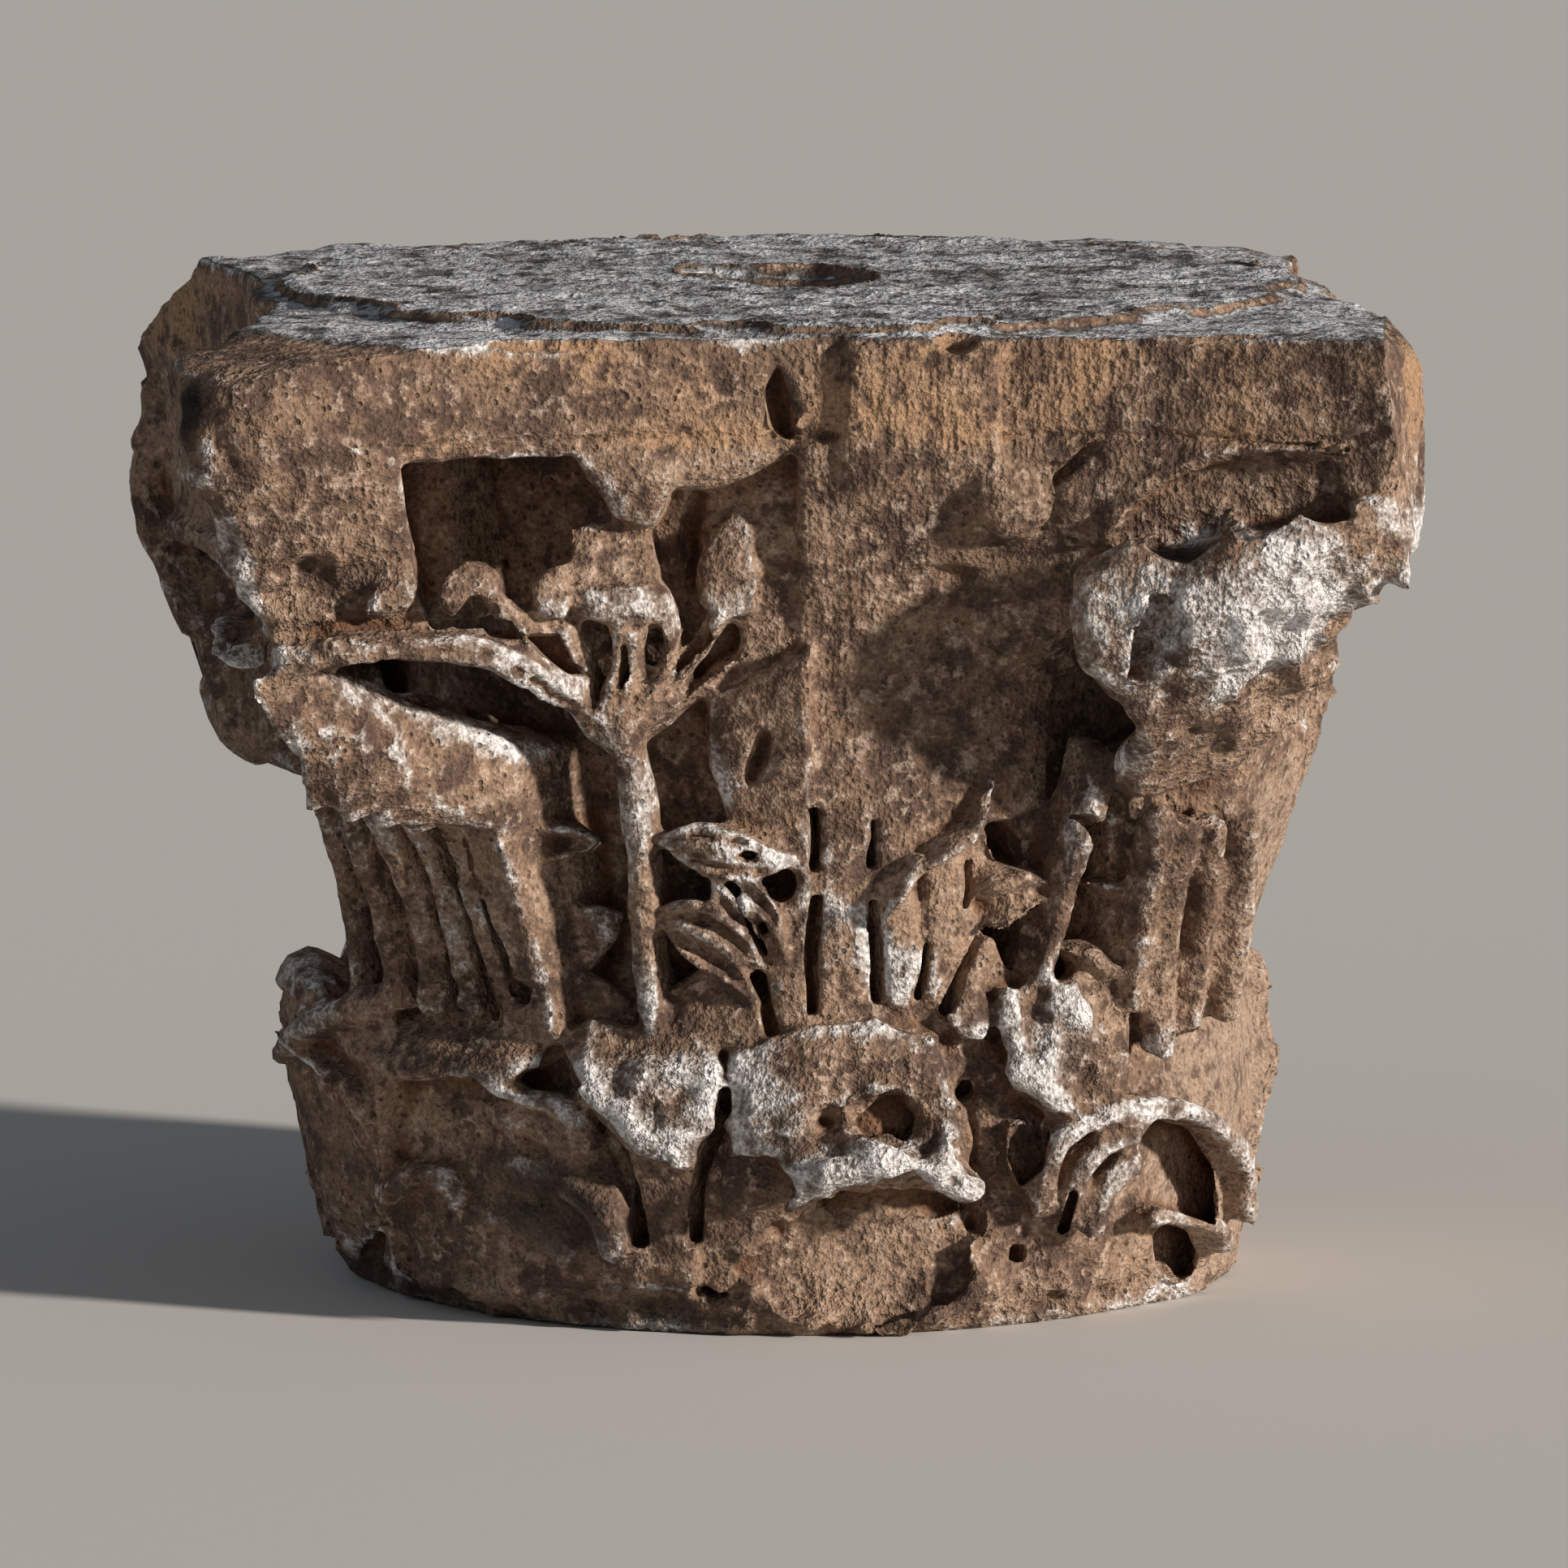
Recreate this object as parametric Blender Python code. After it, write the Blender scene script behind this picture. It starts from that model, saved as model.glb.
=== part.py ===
"""A weathered late antique Corinthian capital, carved from one block of marble.

Metres, +Z up. The origin is the centre of the bed that rests on the column shaft, and -Y is the front.
Azimuths are in degrees from the front, positive towards +X. Levels are shares of the whole height.
The order of work is the carver's: rough out the block, sink the hollows, raise the stems and leaves,
drill the slots, and last of all the breaks that age has made.
"""

import math

import bmesh
import bpy
from mathutils import Matrix, Vector

# Overall sizes
HEIGHT = 0.585
BED_RADIUS = 0.300
BED_RISE = 0.008
DOWEL_RADIUS = 0.021
DOWEL_DEPTH = 0.045

# The abacus, a slab with four hollowed sides and cut corners
ABACUS_HALF_SIDE = 0.377
ABACUS_WAIST = 0.306
ABACUS_THICKNESS = 0.066
ABACUS_FILLET = 0.054
ABACUS_LIP_INSET = 0.007
CORNER_CUT = 0.045
BOSS_HALF_WIDTH = 0.044
BOSS_PROUD = 0.010

# The bell behind the leaves
BELL_FOOT_RADIUS = 0.236
BELL_LIP_RADIUS = 0.288
BELL_FLARE = 2.6

# How the carving is set out
CARVING_TURN = 2.5
CARVING_SHIFT = 0.010
LOWER_LEAF_LEVEL = 0.335
LOWER_LEAF_PROUD = 0.052
LOWER_LEAF_HALF_WIDTH = 0.088

# The fineness of the worked surface, and of the finished solid
GRAIN = 0.0055
FACES_IN_ALL = 9600
WORN_PASSES = 3

FRONT, RIGHT, BACK, LEFT = 0.0, 90.0, 180.0, -90.0
SIDES = (FRONT, RIGHT, BACK, LEFT)
FRONT_RIGHT = 45.0
FINISHED_CORNERS = (135.0, -135.0, -45.0)

ABACUS_TOP = HEIGHT - BED_RISE
ABACUS_UNDERSIDE = ABACUS_TOP - ABACUS_THICKNESS
CORNER_REACH = ABACUS_HALF_SIDE * math.sqrt(2) - CORNER_CUT / 2
UNDERSIDE_LEVEL = ABACUS_UNDERSIDE / HEIGHT


# The plain panel left uncut on the front, as (level, how proud of the bell)
UNCUT_PANEL = (
    (0.300, 0.031), (0.400, 0.028), (0.500, 0.022), (0.600, 0.016), (0.700, 0.013), (0.770, 0.0175),
    (0.855, 0.0215), (UNDERSIDE_LEVEL + 0.01, 0.022),
)


def bell_radius(level):
    """The bell's radius at a share of the height: nearly straight below, flaring under the abacus."""
    share = min(max(level / UNDERSIDE_LEVEL, 0.0), 1.0)
    return BELL_FOOT_RADIUS + (BELL_LIP_RADIUS - BELL_FOOT_RADIUS) * share**BELL_FLARE


def outward(azimuth):
    angle = math.radians(azimuth)
    return Vector((math.sin(angle), -math.cos(angle), 0.0))


def spot(azimuth, level, proud):
    """A point at that azimuth and level, standing proud of the bell by so many metres."""
    return outward(azimuth) * (bell_radius(level) + proud) + Vector((0, 0, level * HEIGHT))


def corner_spot(corner, across, level, reach):
    """A point under a corner of the abacus: reach goes from 0 at the bell to 1 at the corner's edge."""
    radius = bell_radius(level) + reach * (CORNER_REACH - bell_radius(level))
    side = outward(corner + 90.0)
    return outward(corner) * radius + side * across + Vector((0, 0, level * HEIGHT))


def edge_spot(side, across, level, back):
    """A point under the hollowed edge of the abacus, so far along the side and so far behind the edge."""
    end = ABACUS_HALF_SIDE - CORNER_CUT / math.sqrt(2)
    edge = ABACUS_WAIST + (ABACUS_HALF_SIDE - ABACUS_WAIST) * (across / end) ** 2
    return outward(side) * (edge - back) + outward(side + 90.0) * across + Vector((0, 0, level * HEIGHT))


def finish(work, name):
    """Turns a worked shape into an object, with its faces pointing out."""
    bmesh.ops.recalc_face_normals(work, faces=work.faces)
    mesh = bpy.data.meshes.new(name)
    work.to_mesh(mesh)
    work.free()
    item = bpy.data.objects.new(name, mesh)
    bpy.context.scene.collection.objects.link(item)
    return item


def through(points, steps):
    """Points along one smooth curve through the given stations, each a tuple of Vector and sizes."""
    rows = [tuple(row[0]) + tuple(row[1:]) for row in points]
    found = []
    last = len(rows) - 1
    for index in range(last):
        before, start = rows[max(index - 1, 0)], rows[index]
        end, after = rows[index + 1], rows[min(index + 2, last)]
        for step in range(steps):
            t = step / steps
            found.append([
                b + ((c - a) * t + (2 * a - 5 * b + 4 * c - d) * t**2 + (3 * b - a - 3 * c + d) * t**3) / 2
                for a, b, c, d in zip(before, start, end, after)
            ])
    found.append(list(rows[last]))
    return [(Vector(row[:3]), max(row[3], 0.001), max(row[4], 0.001)) for row in found]


def limb(name, stations, sides=8, steps=3):
    """A stem, rib or leaf: oval sections along a smooth line, each (point, half width, half depth).

    The depth of a section points away from the capital's axis.
    """
    rows = through(stations, steps)
    work = bmesh.new()
    rings = []
    for index, (centre, half_width, half_depth) in enumerate(rows):
        along = (rows[min(index + 1, len(rows) - 1)][0] - rows[max(index - 1, 0)][0]).normalized()
        away = Vector((centre.x, centre.y, 0)).normalized()
        away = away - along * away.dot(along)
        if away.length < 0.2:
            away = Vector((0, 0, 1)) - along * along.z
        away.normalize()
        across = along.cross(away)
        place = Matrix.Translation(centre) @ Matrix((across, away, along)).transposed().to_4x4()
        place = place @ Matrix.Diagonal((half_width, half_depth, 1.0, 1.0))
        at_end = index in (0, len(rows) - 1)
        circle = bmesh.ops.create_circle(work, cap_ends=at_end, segments=sides, radius=1.0, matrix=place)
        ring = circle["verts"]
        rings.append({edge for vert in ring for edge in vert.link_edges})
    for first, second in zip(rings, rings[1:]):
        bmesh.ops.bridge_loops(work, edges=list(first | second))
    return finish(work, name)


def lump(name, centre, half_sizes, azimuth, lean=0.0, detail=2):
    """A rounded mass: half_sizes across, outwards and upwards, leaning by so many degrees to the right."""
    work = bmesh.new()
    turn = Matrix.Rotation(math.radians(azimuth), 4, "Z") @ Matrix.Rotation(math.radians(lean), 4, "Y")
    place = Matrix.Translation(centre) @ turn @ Matrix.Diagonal((*half_sizes, 1.0))
    bmesh.ops.create_icosphere(work, subdivisions=detail, radius=1.0, matrix=place)
    return finish(work, name)


def hull(name, points):
    """The convex mass round a set of points: a block as the point chisel leaves it."""
    work = bmesh.new()
    for point in points:
        work.verts.new(point)
    bmesh.ops.convex_hull(work, input=work.verts)
    bmesh.ops.delete(work, geom=[vert for vert in work.verts if not vert.link_faces], context="VERTS")
    return finish(work, name)


def sector(name, start, end, rows, steps=8):
    """A shell of uncut stone on the bell between two azimuths; rows are (level, proud)."""
    work = bmesh.new()
    inner = BELL_FOOT_RADIUS / 2
    profile = [Vector((0, -inner, rows[0][0] * HEIGHT))]
    profile += [Vector((0, -bell_radius(level) - proud, level * HEIGHT)) for level, proud in rows]
    profile.append(Vector((0, -inner, rows[-1][0] * HEIGHT)))
    face = work.faces.new([work.verts.new(point) for point in profile])
    bmesh.ops.rotate(work, verts=work.verts, matrix=Matrix.Rotation(math.radians(start), 3, "Z"))
    bmesh.ops.spin(
        work, geom=[face], cent=(0, 0, 0), axis=(0, 0, 1), angle=math.radians(end - start), steps=steps,
    )
    return finish(work, name)


def turned(name, profile, segments=96):
    """A solid of revolution; the profile is (radius, height) from the top of the axis to its foot."""
    work = bmesh.new()
    points = [work.verts.new((radius, 0, height)) for radius, height in profile]
    edges = [work.edges.new(pair) for pair in zip(points, points[1:])]
    bmesh.ops.spin(
        work, geom=points + edges, cent=(0, 0, 0), axis=(0, 0, 1), angle=2 * math.pi, steps=segments,
        use_merge=True,
    )
    bmesh.ops.remove_doubles(work, verts=work.verts, dist=1e-5)
    return finish(work, name)


def bell():
    rows = 12
    profile = [(0.0, ABACUS_TOP - BED_RISE)]
    profile.append((BELL_LIP_RADIUS, ABACUS_TOP - BED_RISE))
    profile += [
        (bell_radius(UNDERSIDE_LEVEL * step / rows), ABACUS_UNDERSIDE * step / rows)
        for step in range(rows, -1, -1)
    ]
    profile.append((0.0, 0.0))
    return turned("bell", profile)


def abacus_outline(inset):
    """The plan of the abacus: four hollow sides, each an arc, joined by straight corner cuts."""
    half = ABACUS_HALF_SIDE - inset
    end = half - CORNER_CUT / math.sqrt(2)
    sag = half - (ABACUS_WAIST - inset)
    radius = (end**2 + sag**2) / (2 * sag)
    sweep = math.asin(end / radius)
    steps = 12
    points = []
    for side in SIDES:
        turn = Matrix.Rotation(math.radians(side), 4, "Z")
        for step in range(steps + 1):
            angle = sweep * (2 * step / steps - 1)
            hollow = radius * (math.cos(angle) - math.cos(sweep))
            points.append(turn @ Vector((radius * math.sin(angle), -half + hollow, 0)))
    return points


def abacus():
    """The slab, with a slightly sunk lower edge all round."""
    work = bmesh.new()
    rings = []
    for inset, height in (
        (ABACUS_LIP_INSET, ABACUS_UNDERSIDE),
        (ABACUS_LIP_INSET, ABACUS_TOP - ABACUS_FILLET),
        (0.0, ABACUS_TOP - ABACUS_FILLET + ABACUS_LIP_INSET / 2),
        (0.0, ABACUS_TOP),
    ):
        ring = [work.verts.new(point + Vector((0, 0, height))) for point in abacus_outline(inset)]
        rings.append(ring)
    loops = [[work.edges.new(pair) for pair in zip(ring, ring[1:] + ring[:1])] for ring in rings]
    for first, second in zip(loops, loops[1:]):
        bmesh.ops.bridge_loops(work, edges=first + second)
    bmesh.ops.contextual_create(work, geom=loops[0])
    bmesh.ops.contextual_create(work, geom=loops[-1])
    return finish(work, "abacus")


def bearing_bed():
    return turned("bearing_bed", [
        (0.0, HEIGHT), (BED_RADIUS, HEIGHT), (BED_RADIUS * 1.01, ABACUS_TOP - 2 * BED_RISE),
        (0.0, ABACUS_TOP - 2 * BED_RISE),
    ])


def abacus_boss(side, offset):
    """The uncarved boss for the flower in the middle of a side, running down onto the bell."""
    points = []
    for hand in (-1, 1):
        across = offset + hand * BOSS_HALF_WIDTH
        points += [
            edge_spot(side, across, (ABACUS_TOP - 0.001) / HEIGHT, -BOSS_PROUD),
            edge_spot(side, across, UNDERSIDE_LEVEL, -BOSS_PROUD * 0.8),
            edge_spot(side, across * 0.95, 0.760, 0.018),
            edge_spot(side, across, (ABACUS_TOP - 0.001) / HEIGHT, 0.060),
            edge_spot(side, across, 0.760, 0.070),
        ]
    return hull("boss", points)


def volute_block(corner, half_width, foot_level, lean_in):
    """The worn mass of the two volutes that meet under a corner, flush with the abacus above."""
    work = bmesh.new()
    half = ABACUS_HALF_SIDE - ABACUS_LIP_INSET - 0.006
    cut = CORNER_CUT / math.sqrt(2)
    sag = 0.016
    near_end, far_end = half - 2 * half_width, half - 2 * half_width - 0.006
    plan = [
        (half - cut, half), (near_end, half - sag), (far_end, 0.225), (0.10, 0.10), (0.225, far_end),
        (half - sag, near_end), (half, half - cut),
    ]
    turn = Matrix.Rotation(math.radians(corner - 45.0), 4, "Z")
    face = work.faces.new([
        work.verts.new(turn @ Vector((x, -y, ABACUS_UNDERSIDE + 0.010))) for x, y in plan
    ])
    grown = bmesh.ops.extrude_face_region(work, geom=[face])["geom"]
    low = [item for item in grown if isinstance(item, bmesh.types.BMVert)]
    fall = Vector((0, 0, foot_level * HEIGHT - ABACUS_UNDERSIDE - 0.010))
    bmesh.ops.translate(work, verts=low, vec=fall)
    bmesh.ops.scale(work, verts=low, vec=(1 - lean_in, 1 - lean_in, 1))
    return finish(work, "volute_block")


def corner_leaf(corner):
    """The tall leaf that carries a corner: a ribbed body that bends out to a broken tip."""
    body, tip = [], []
    for hand in (-1, 1):
        body += [corner_spot(corner, hand * across, level, reach) for across, level, reach in (
            (0.100, 0.290, 0.13), (0.055, 0.290, 0.19), (0.100, 0.410, 0.15), (0.050, 0.410, 0.23),
            (0.088, 0.545, 0.20), (0.050, 0.560, 0.32), (0.060, 0.290, -0.15), (0.060, 0.560, -0.15),
        )]
        tip += [corner_spot(corner, hand * across, level, reach) for across, level, reach in (
            (0.078, 0.560, 0.16), (0.076, 0.505, 0.18), (0.054, 0.590, 0.25), (0.052, 0.500, 0.30),
            (0.034, 0.625, 0.40), (0.034, 0.515, 0.44), (0.022, 0.668, 0.70), (0.018, 0.585, 0.68),
            (0.014, 0.545, 0.56), (0.050, 0.500, -0.10), (0.050, 0.570, -0.10),
        )]
    return [hull("corner_leaf", body), hull("corner_leaf_tip", tip)]


def corner_leaf_lobes(corner, hand):
    """The side lobe of a corner leaf, its drooping tip, and the flat strip with an eye below it."""
    lobe = spot(corner + hand * 9.0, 0.552, 0.048)
    return [
        lump("side_lobe", lobe, (0.032, 0.024, 0.018), corner, lean=-hand * 6.0),
        lump("lobe_tip", spot(corner + hand * 11.5, 0.520, 0.046), (0.013, 0.013, 0.016), corner),
        rib("side_strip", (
            (corner + hand * 7.5, 0.300, 0.026), (corner + hand * 8.0, 0.400, 0.024),
            (corner + hand * 8.5, 0.500, 0.026),
        ), (0.019, 0.022), (0.014, 0.014)),
    ]


def left_face_lobe():
    """The big lobe that bends out on the left face, where the carving is best kept."""
    return [
        lump("left_lobe", spot(-79.0, 0.585, 0.062), (0.028, 0.026, 0.026), -79.0, lean=12.0),
        lump("left_lobe_tip", spot(-76.0, 0.650, 0.070), (0.018, 0.020, 0.018), -76.0),
    ]


def corner_leaf_ribs(corner, count=6):
    """Upright ribs on a corner leaf, leaning together as they fall."""
    ribs = []
    for index in range(count):
        share = 2 * index / (count - 1) - 1
        head = share * 0.058
        foot = share * 0.088
        ribs.append(limb("corner_leaf_rib", [
            (corner_spot(corner, foot, 0.295, 0.205 - 0.060 * share**2), 0.0075, 0.010),
            (corner_spot(corner, foot, 0.400, 0.240 - 0.070 * share**2), 0.0070, 0.010),
            (corner_spot(corner, head, 0.500, 0.340 - 0.100 * share**2), 0.0075, 0.010),
            (corner_spot(corner, head * 0.6, 0.545, 0.480 - 0.200 * share**2), 0.0080, 0.010),
        ], sides=6))
    return ribs


def fallen_corner_leaf(side):
    """The front right corner leaf, broken with the volutes over it to one rough slanting mass."""
    upper = [edge_spot(side, *row) for row in (
        (0.127, 0.772, -0.020), (0.130, 0.680, -0.014), (0.150, 0.632, -0.016), (0.165, 0.617, -0.018),
        (0.197, 0.633, -0.014), (0.150, 0.780, -0.030), (0.210, 0.800, -0.032), (0.205, 0.715, -0.028),
        (0.250, 0.795, -0.020), (0.300, 0.820, -0.008), (0.300, 0.765, 0.002), (0.262, 0.665, 0.010),
        (0.335, 0.815, 0.020), (0.325, 0.760, 0.060), (0.285, 0.640, 0.080), (0.330, 0.780, 0.160),
        (0.285, 0.640, 0.160), (0.130, 0.740, 0.100), (0.140, 0.640, 0.110), (0.200, 0.560, 0.150),
    )]
    body = [spot(*row) for row in (
        (27.5, 0.600, 0.080), (45.0, 0.620, 0.150), (62.0, 0.600, 0.080), (28.5, 0.530, 0.076),
        (45.0, 0.540, 0.110), (61.0, 0.530, 0.076), (31.5, 0.300, 0.056), (45.0, 0.270, 0.062),
        (60.0, 0.300, 0.056), (31.0, 0.280, -0.01), (60.0, 0.280, -0.01), (28.0, 0.600, -0.01),
        (62.0, 0.600, -0.01),
    )]
    uncut = [edge_spot(side, *row) for row in (
        (0.080, 0.885, 0.001), (0.215, 0.885, 0.001), (0.215, 0.800, 0.004), (0.125, 0.790, 0.012),
        (0.080, 0.830, 0.008), (0.080, 0.885, 0.070), (0.215, 0.885, 0.100), (0.140, 0.620, 0.060),
        (0.070, 0.620, 0.040), (0.070, 0.620, 0.080), (0.140, 0.620, 0.110),
    )]
    return [
        hull("fallen_leaf", upper), hull("fallen_leaf_foot", body), hull("uncut_quarter", uncut),
        lump("leaf_nub", spot(side + 26.0, 0.575, 0.090), (0.024, 0.028, 0.020), side + 26.0),
    ]


def fallen_leaf_ribs():
    """The upright ribs that are left below the fallen mass."""
    rows = (
        ((31.3, 0.530, 0.086), (33.3, 0.445, 0.070), (33.4, 0.315, 0.054)),
        ((35.6, 0.520, 0.098), (37.6, 0.422, 0.074), (37.3, 0.292, 0.058)),
        ((43.0, 0.500, 0.104), (41.2, 0.389, 0.074), (39.8, 0.262, 0.058)),
        ((52.0, 0.500, 0.098), (50.0, 0.389, 0.072), (50.0, 0.300, 0.058)),
        ((58.0, 0.500, 0.080), (57.0, 0.389, 0.066), (57.0, 0.300, 0.054)),
    )
    return [rib("fallen_leaf_rib", row, (0.0075, 0.0080), (0.010, 0.010)) for row in rows]


def skirt():
    """The worn skin that the lower leaves share."""
    rows = (
        (0.372, -0.002), (0.345, 0.010), (0.310, 0.028), (0.265, 0.040), (0.200, 0.042),
        (0.130, 0.038), (0.055, 0.033), (0.0, 0.027),
    )
    profile = [(0.0, rows[0][0] * HEIGHT)]
    profile += [(bell_radius(level) + proud, level * HEIGHT) for level, proud in rows]
    profile.append((0.0, 0.0))
    return turned("skirt", profile)


def lower_leaf(azimuth, width=1.0, proud=1.0):
    """One leaf of the lower ring: a broad shield whose top bends out over its foot."""
    top = LOWER_LEAF_LEVEL
    out = LOWER_LEAF_PROUD * proud
    half = LOWER_LEAF_HALF_WIDTH * width
    return limb("lower_leaf", [
        (spot(azimuth, 0.03, 0.006), half * 0.86, 0.018),
        (spot(azimuth, 0.14, 0.018), half * 0.96, 0.024),
        (spot(azimuth, top - 0.12, 0.026), half * 0.98, 0.030),
        (spot(azimuth, top - 0.06, out - 0.012), half * 0.86, 0.028),
        (spot(azimuth, top - 0.025, out), half * 0.62, 0.020),
        (spot(azimuth, top - 0.045, out + 0.012), half * 0.42, 0.010),
    ], sides=14)


def lower_leaf_relief(azimuth, hands=(-1, 1)):
    """The midrib, and on each hand the two arches of bent lobes round their eyes."""
    ribs = [rib("midrib", (
        (azimuth, 0.03, 0.036), (azimuth, 0.15, 0.048), (azimuth, 0.245, 0.062),
    ), (0.009, 0.008), (0.010, 0.010))]
    for hand in hands:
        for rows, wide in (
            (((4.0, 0.050, 0.034), (5.0, 0.165, 0.046), (10.0, 0.212, 0.050), (15.5, 0.185, 0.044),
              (18.5, 0.110, 0.034)), 0.0085),
            (((5.0, 0.020, 0.030), (8.0, 0.085, 0.040), (12.5, 0.080, 0.038), (15.0, 0.030, 0.028)),
             0.0070),
        ):
            placed = [(azimuth + hand * turn, level, proud) for turn, level, proud in rows]
            ribs.append(rib("lobe", placed, (wide, wide), (0.010, 0.010)))
    return ribs


def lower_leaf_eyes(azimuth, hands=(-1, 1)):
    """The eyes drilled between the lobes of a lower leaf."""
    eyes = []
    for hand in hands:
        for turn, level, wide, high, lean in (
            (11.0, 0.140, 0.014, 0.026, 18.0), (10.6, 0.045, 0.009, 0.012, 14.0),
        ):
            angle = azimuth + hand * turn
            place = spot(angle, level, 0.050)
            eyes.append(lump("eye", place, (wide, 0.026, high), angle, lean=hand * lean, detail=1))
    return eyes


def front_middle_leaf():
    """The worn leaf under the middle of the front: a broken brow, a ridge below it, and a rough foot."""
    return [
        hull("brow", [spot(*row) for row in (
            (-6.0, 0.325, 0.038), (4.0, 0.338, 0.044), (13.5, 0.328, 0.042), (-6.5, 0.245, 0.054),
            (4.0, 0.250, 0.058), (13.0, 0.245, 0.054), (-7.5, 0.180, 0.056), (15.0, 0.175, 0.050),
            (-8.0, 0.140, 0.040), (16.0, 0.140, 0.036), (-8.0, 0.33, 0.0), (15.0, 0.33, 0.0),
            (4.0, 0.14, 0.0),
        )]),
        rib("ridge", (
            (-6.5, 0.175, 0.056), (-1.0, 0.180, 0.062), (5.0, 0.192, 0.063), (14.5, 0.162, 0.050),
        ), (0.012, 0.012), (0.012, 0.014)),
        hull("left_bulge", [spot(*row) for row in (
            (-30.0, 0.298, 0.050), (-20.0, 0.330, 0.048), (-13.0, 0.300, 0.050), (-30.0, 0.245, 0.062),
            (-22.0, 0.262, 0.070), (-14.5, 0.245, 0.060), (-25.0, 0.185, 0.058), (-17.0, 0.180, 0.052),
            (-22.5, 0.110, 0.036), (-19.0, 0.110, 0.036), (-28.0, 0.30, 0.0), (-15.0, 0.30, 0.0),
            (-21.0, 0.10, 0.0),
        )]),
        hull("right_bulge", [spot(*row) for row in (
            (18.8, 0.300, 0.052), (26.0, 0.318, 0.054), (33.0, 0.305, 0.060), (20.0, 0.262, 0.066),
            (31.0, 0.262, 0.070), (24.0, 0.220, 0.060), (20.5, 0.180, 0.048), (27.0, 0.180, 0.048),
            (20.0, 0.30, 0.0), (32.0, 0.30, 0.0), (24.0, 0.18, 0.0),
        )]),
        lump("bud", spot(15.4, 0.322, 0.034), (0.013, 0.012, 0.014), 15.4),
        lump("bud", spot(20.6, 0.318, 0.042), (0.010, 0.014, 0.020), 20.6),
    ]


def front_middle_hollows():
    cuts = [
        lump("brow_eye", spot(-1.6, 0.218, 0.074), (0.011, 0.026, 0.010), 0.0),
        lump("brow_eye", spot(6.2, 0.224, 0.072), (0.015, 0.024, 0.013), 6.0, lean=14.0),
        lump("under_ridge", spot(5.0, 0.092, 0.062), (0.047, 0.030, 0.022), 5.0, lean=4.0),
        lump("under_ridge_foot", spot(4.0, 0.020, 0.058), (0.044, 0.026, 0.042), 4.0),
        lump("deep_hole", spot(17.0, 0.250, 0.036), (0.012, 0.026, 0.022), 17.0),
    ]
    for azimuth, low, high, half_width, shift in (
        (-16.6, 0.095, 0.196, 0.0060, 2.4), (-13.6, 0.215, 0.250, 0.0055, 0.0),
        (-24.6, 0.085, 0.200, 0.0060, -3.6), (17.6, 0.095, 0.212, 0.0062, 0.4),
    ):
        cuts.append(gap(azimuth, low, high, half_width, proud=0.040, depth=0.026, shift=shift))
    return cuts


def gap(azimuth, low, high, half_width, proud=0.016, depth=0.024, shift=0.0):
    """A drilled slot between two leaves or ribs; shift moves its head sideways, in degrees."""
    return limb("gap", [
        (spot(azimuth, low, proud), half_width * 0.8, depth),
        (spot(azimuth + shift * 0.5, (low + high) / 2, proud), half_width, depth),
        (spot(azimuth + shift, high, proud), half_width * 0.7, depth),
    ], sides=8, steps=2)


def rib(name, points, wide, deep, sides=7, steps=4):
    """A rib through (azimuth, level, proud) points; wide and deep go from its start to its end."""
    last = len(points) - 1
    rows = []
    for index, (azimuth, level, proud) in enumerate(points):
        share = index / last
        rows.append((
            spot(azimuth, level, proud),
            wide[0] + (wide[1] - wide[0]) * share,
            deep[0] + (deep[1] - deep[0]) * share,
        ))
    return limb(name, rows, sides=sides, steps=steps)


def leaflet(name, base, tip, half_width, bend=0.0, proud=0.027, deep=0.009):
    """A small pointed leaf from base to tip, each (azimuth, level); bend bows it, in degrees."""
    rows = []
    for share, width in ((0.0, 0.35), (0.3, 0.95), (0.6, 0.85), (0.85, 0.45), (1.0, 0.12)):
        azimuth = base[0] + (tip[0] - base[0]) * share
        level = base[1] + (tip[1] - base[1]) * share
        bow = math.sin(math.pi * share) * bend
        rows.append((spot(azimuth + bow, level, proud), half_width * width, deep * (0.5 + width / 2)))
    return limb(name, rows, sides=6, steps=2)


def mirrored(points, side, hand):
    """Points of one half of a side, moved to the side and hand in question."""
    return [(side + CARVING_TURN + hand * azimuth, *rest) for azimuth, *rest in points]


# The stalk, as (azimuth, level, proud); the stem and ribs over it, as (across, level, back)
STALK = (
    (26.3, 0.300, 0.033), (26.4, 0.395, 0.030), (26.3, 0.484, 0.028), (26.8, 0.530, 0.031),
    (27.1, 0.600, 0.027),
)
VOLUTE_STEM = (
    (0.126, 0.603, 0.054), (0.152, 0.630, 0.048), (0.180, 0.657, 0.034), (0.210, 0.686, 0.014),
    (0.256, 0.693, 0.006), (0.285, 0.691, 0.008), (0.306, 0.690, 0.014),
)
FAN_RIBS = (
    ((0.128, 0.605, 0.052), (0.171, 0.675, 0.026), (0.188, 0.706, 0.016), (0.217, 0.737, 0.006)),
    ((0.128, 0.605, 0.052), (0.155, 0.668, 0.034), (0.167, 0.729, 0.012)),
    ((0.127, 0.605, 0.050), (0.129, 0.667, 0.036), (0.126, 0.706, 0.026), (0.133, 0.745, 0.012)),
    ((0.126, 0.603, 0.050), (0.107, 0.653, 0.042), (0.084, 0.690, 0.034), (0.062, 0.724, 0.026)),
    ((0.124, 0.598, 0.050), (0.095, 0.632, 0.046), (0.060, 0.672, 0.044), (0.026, 0.697, 0.040)),
)
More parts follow.
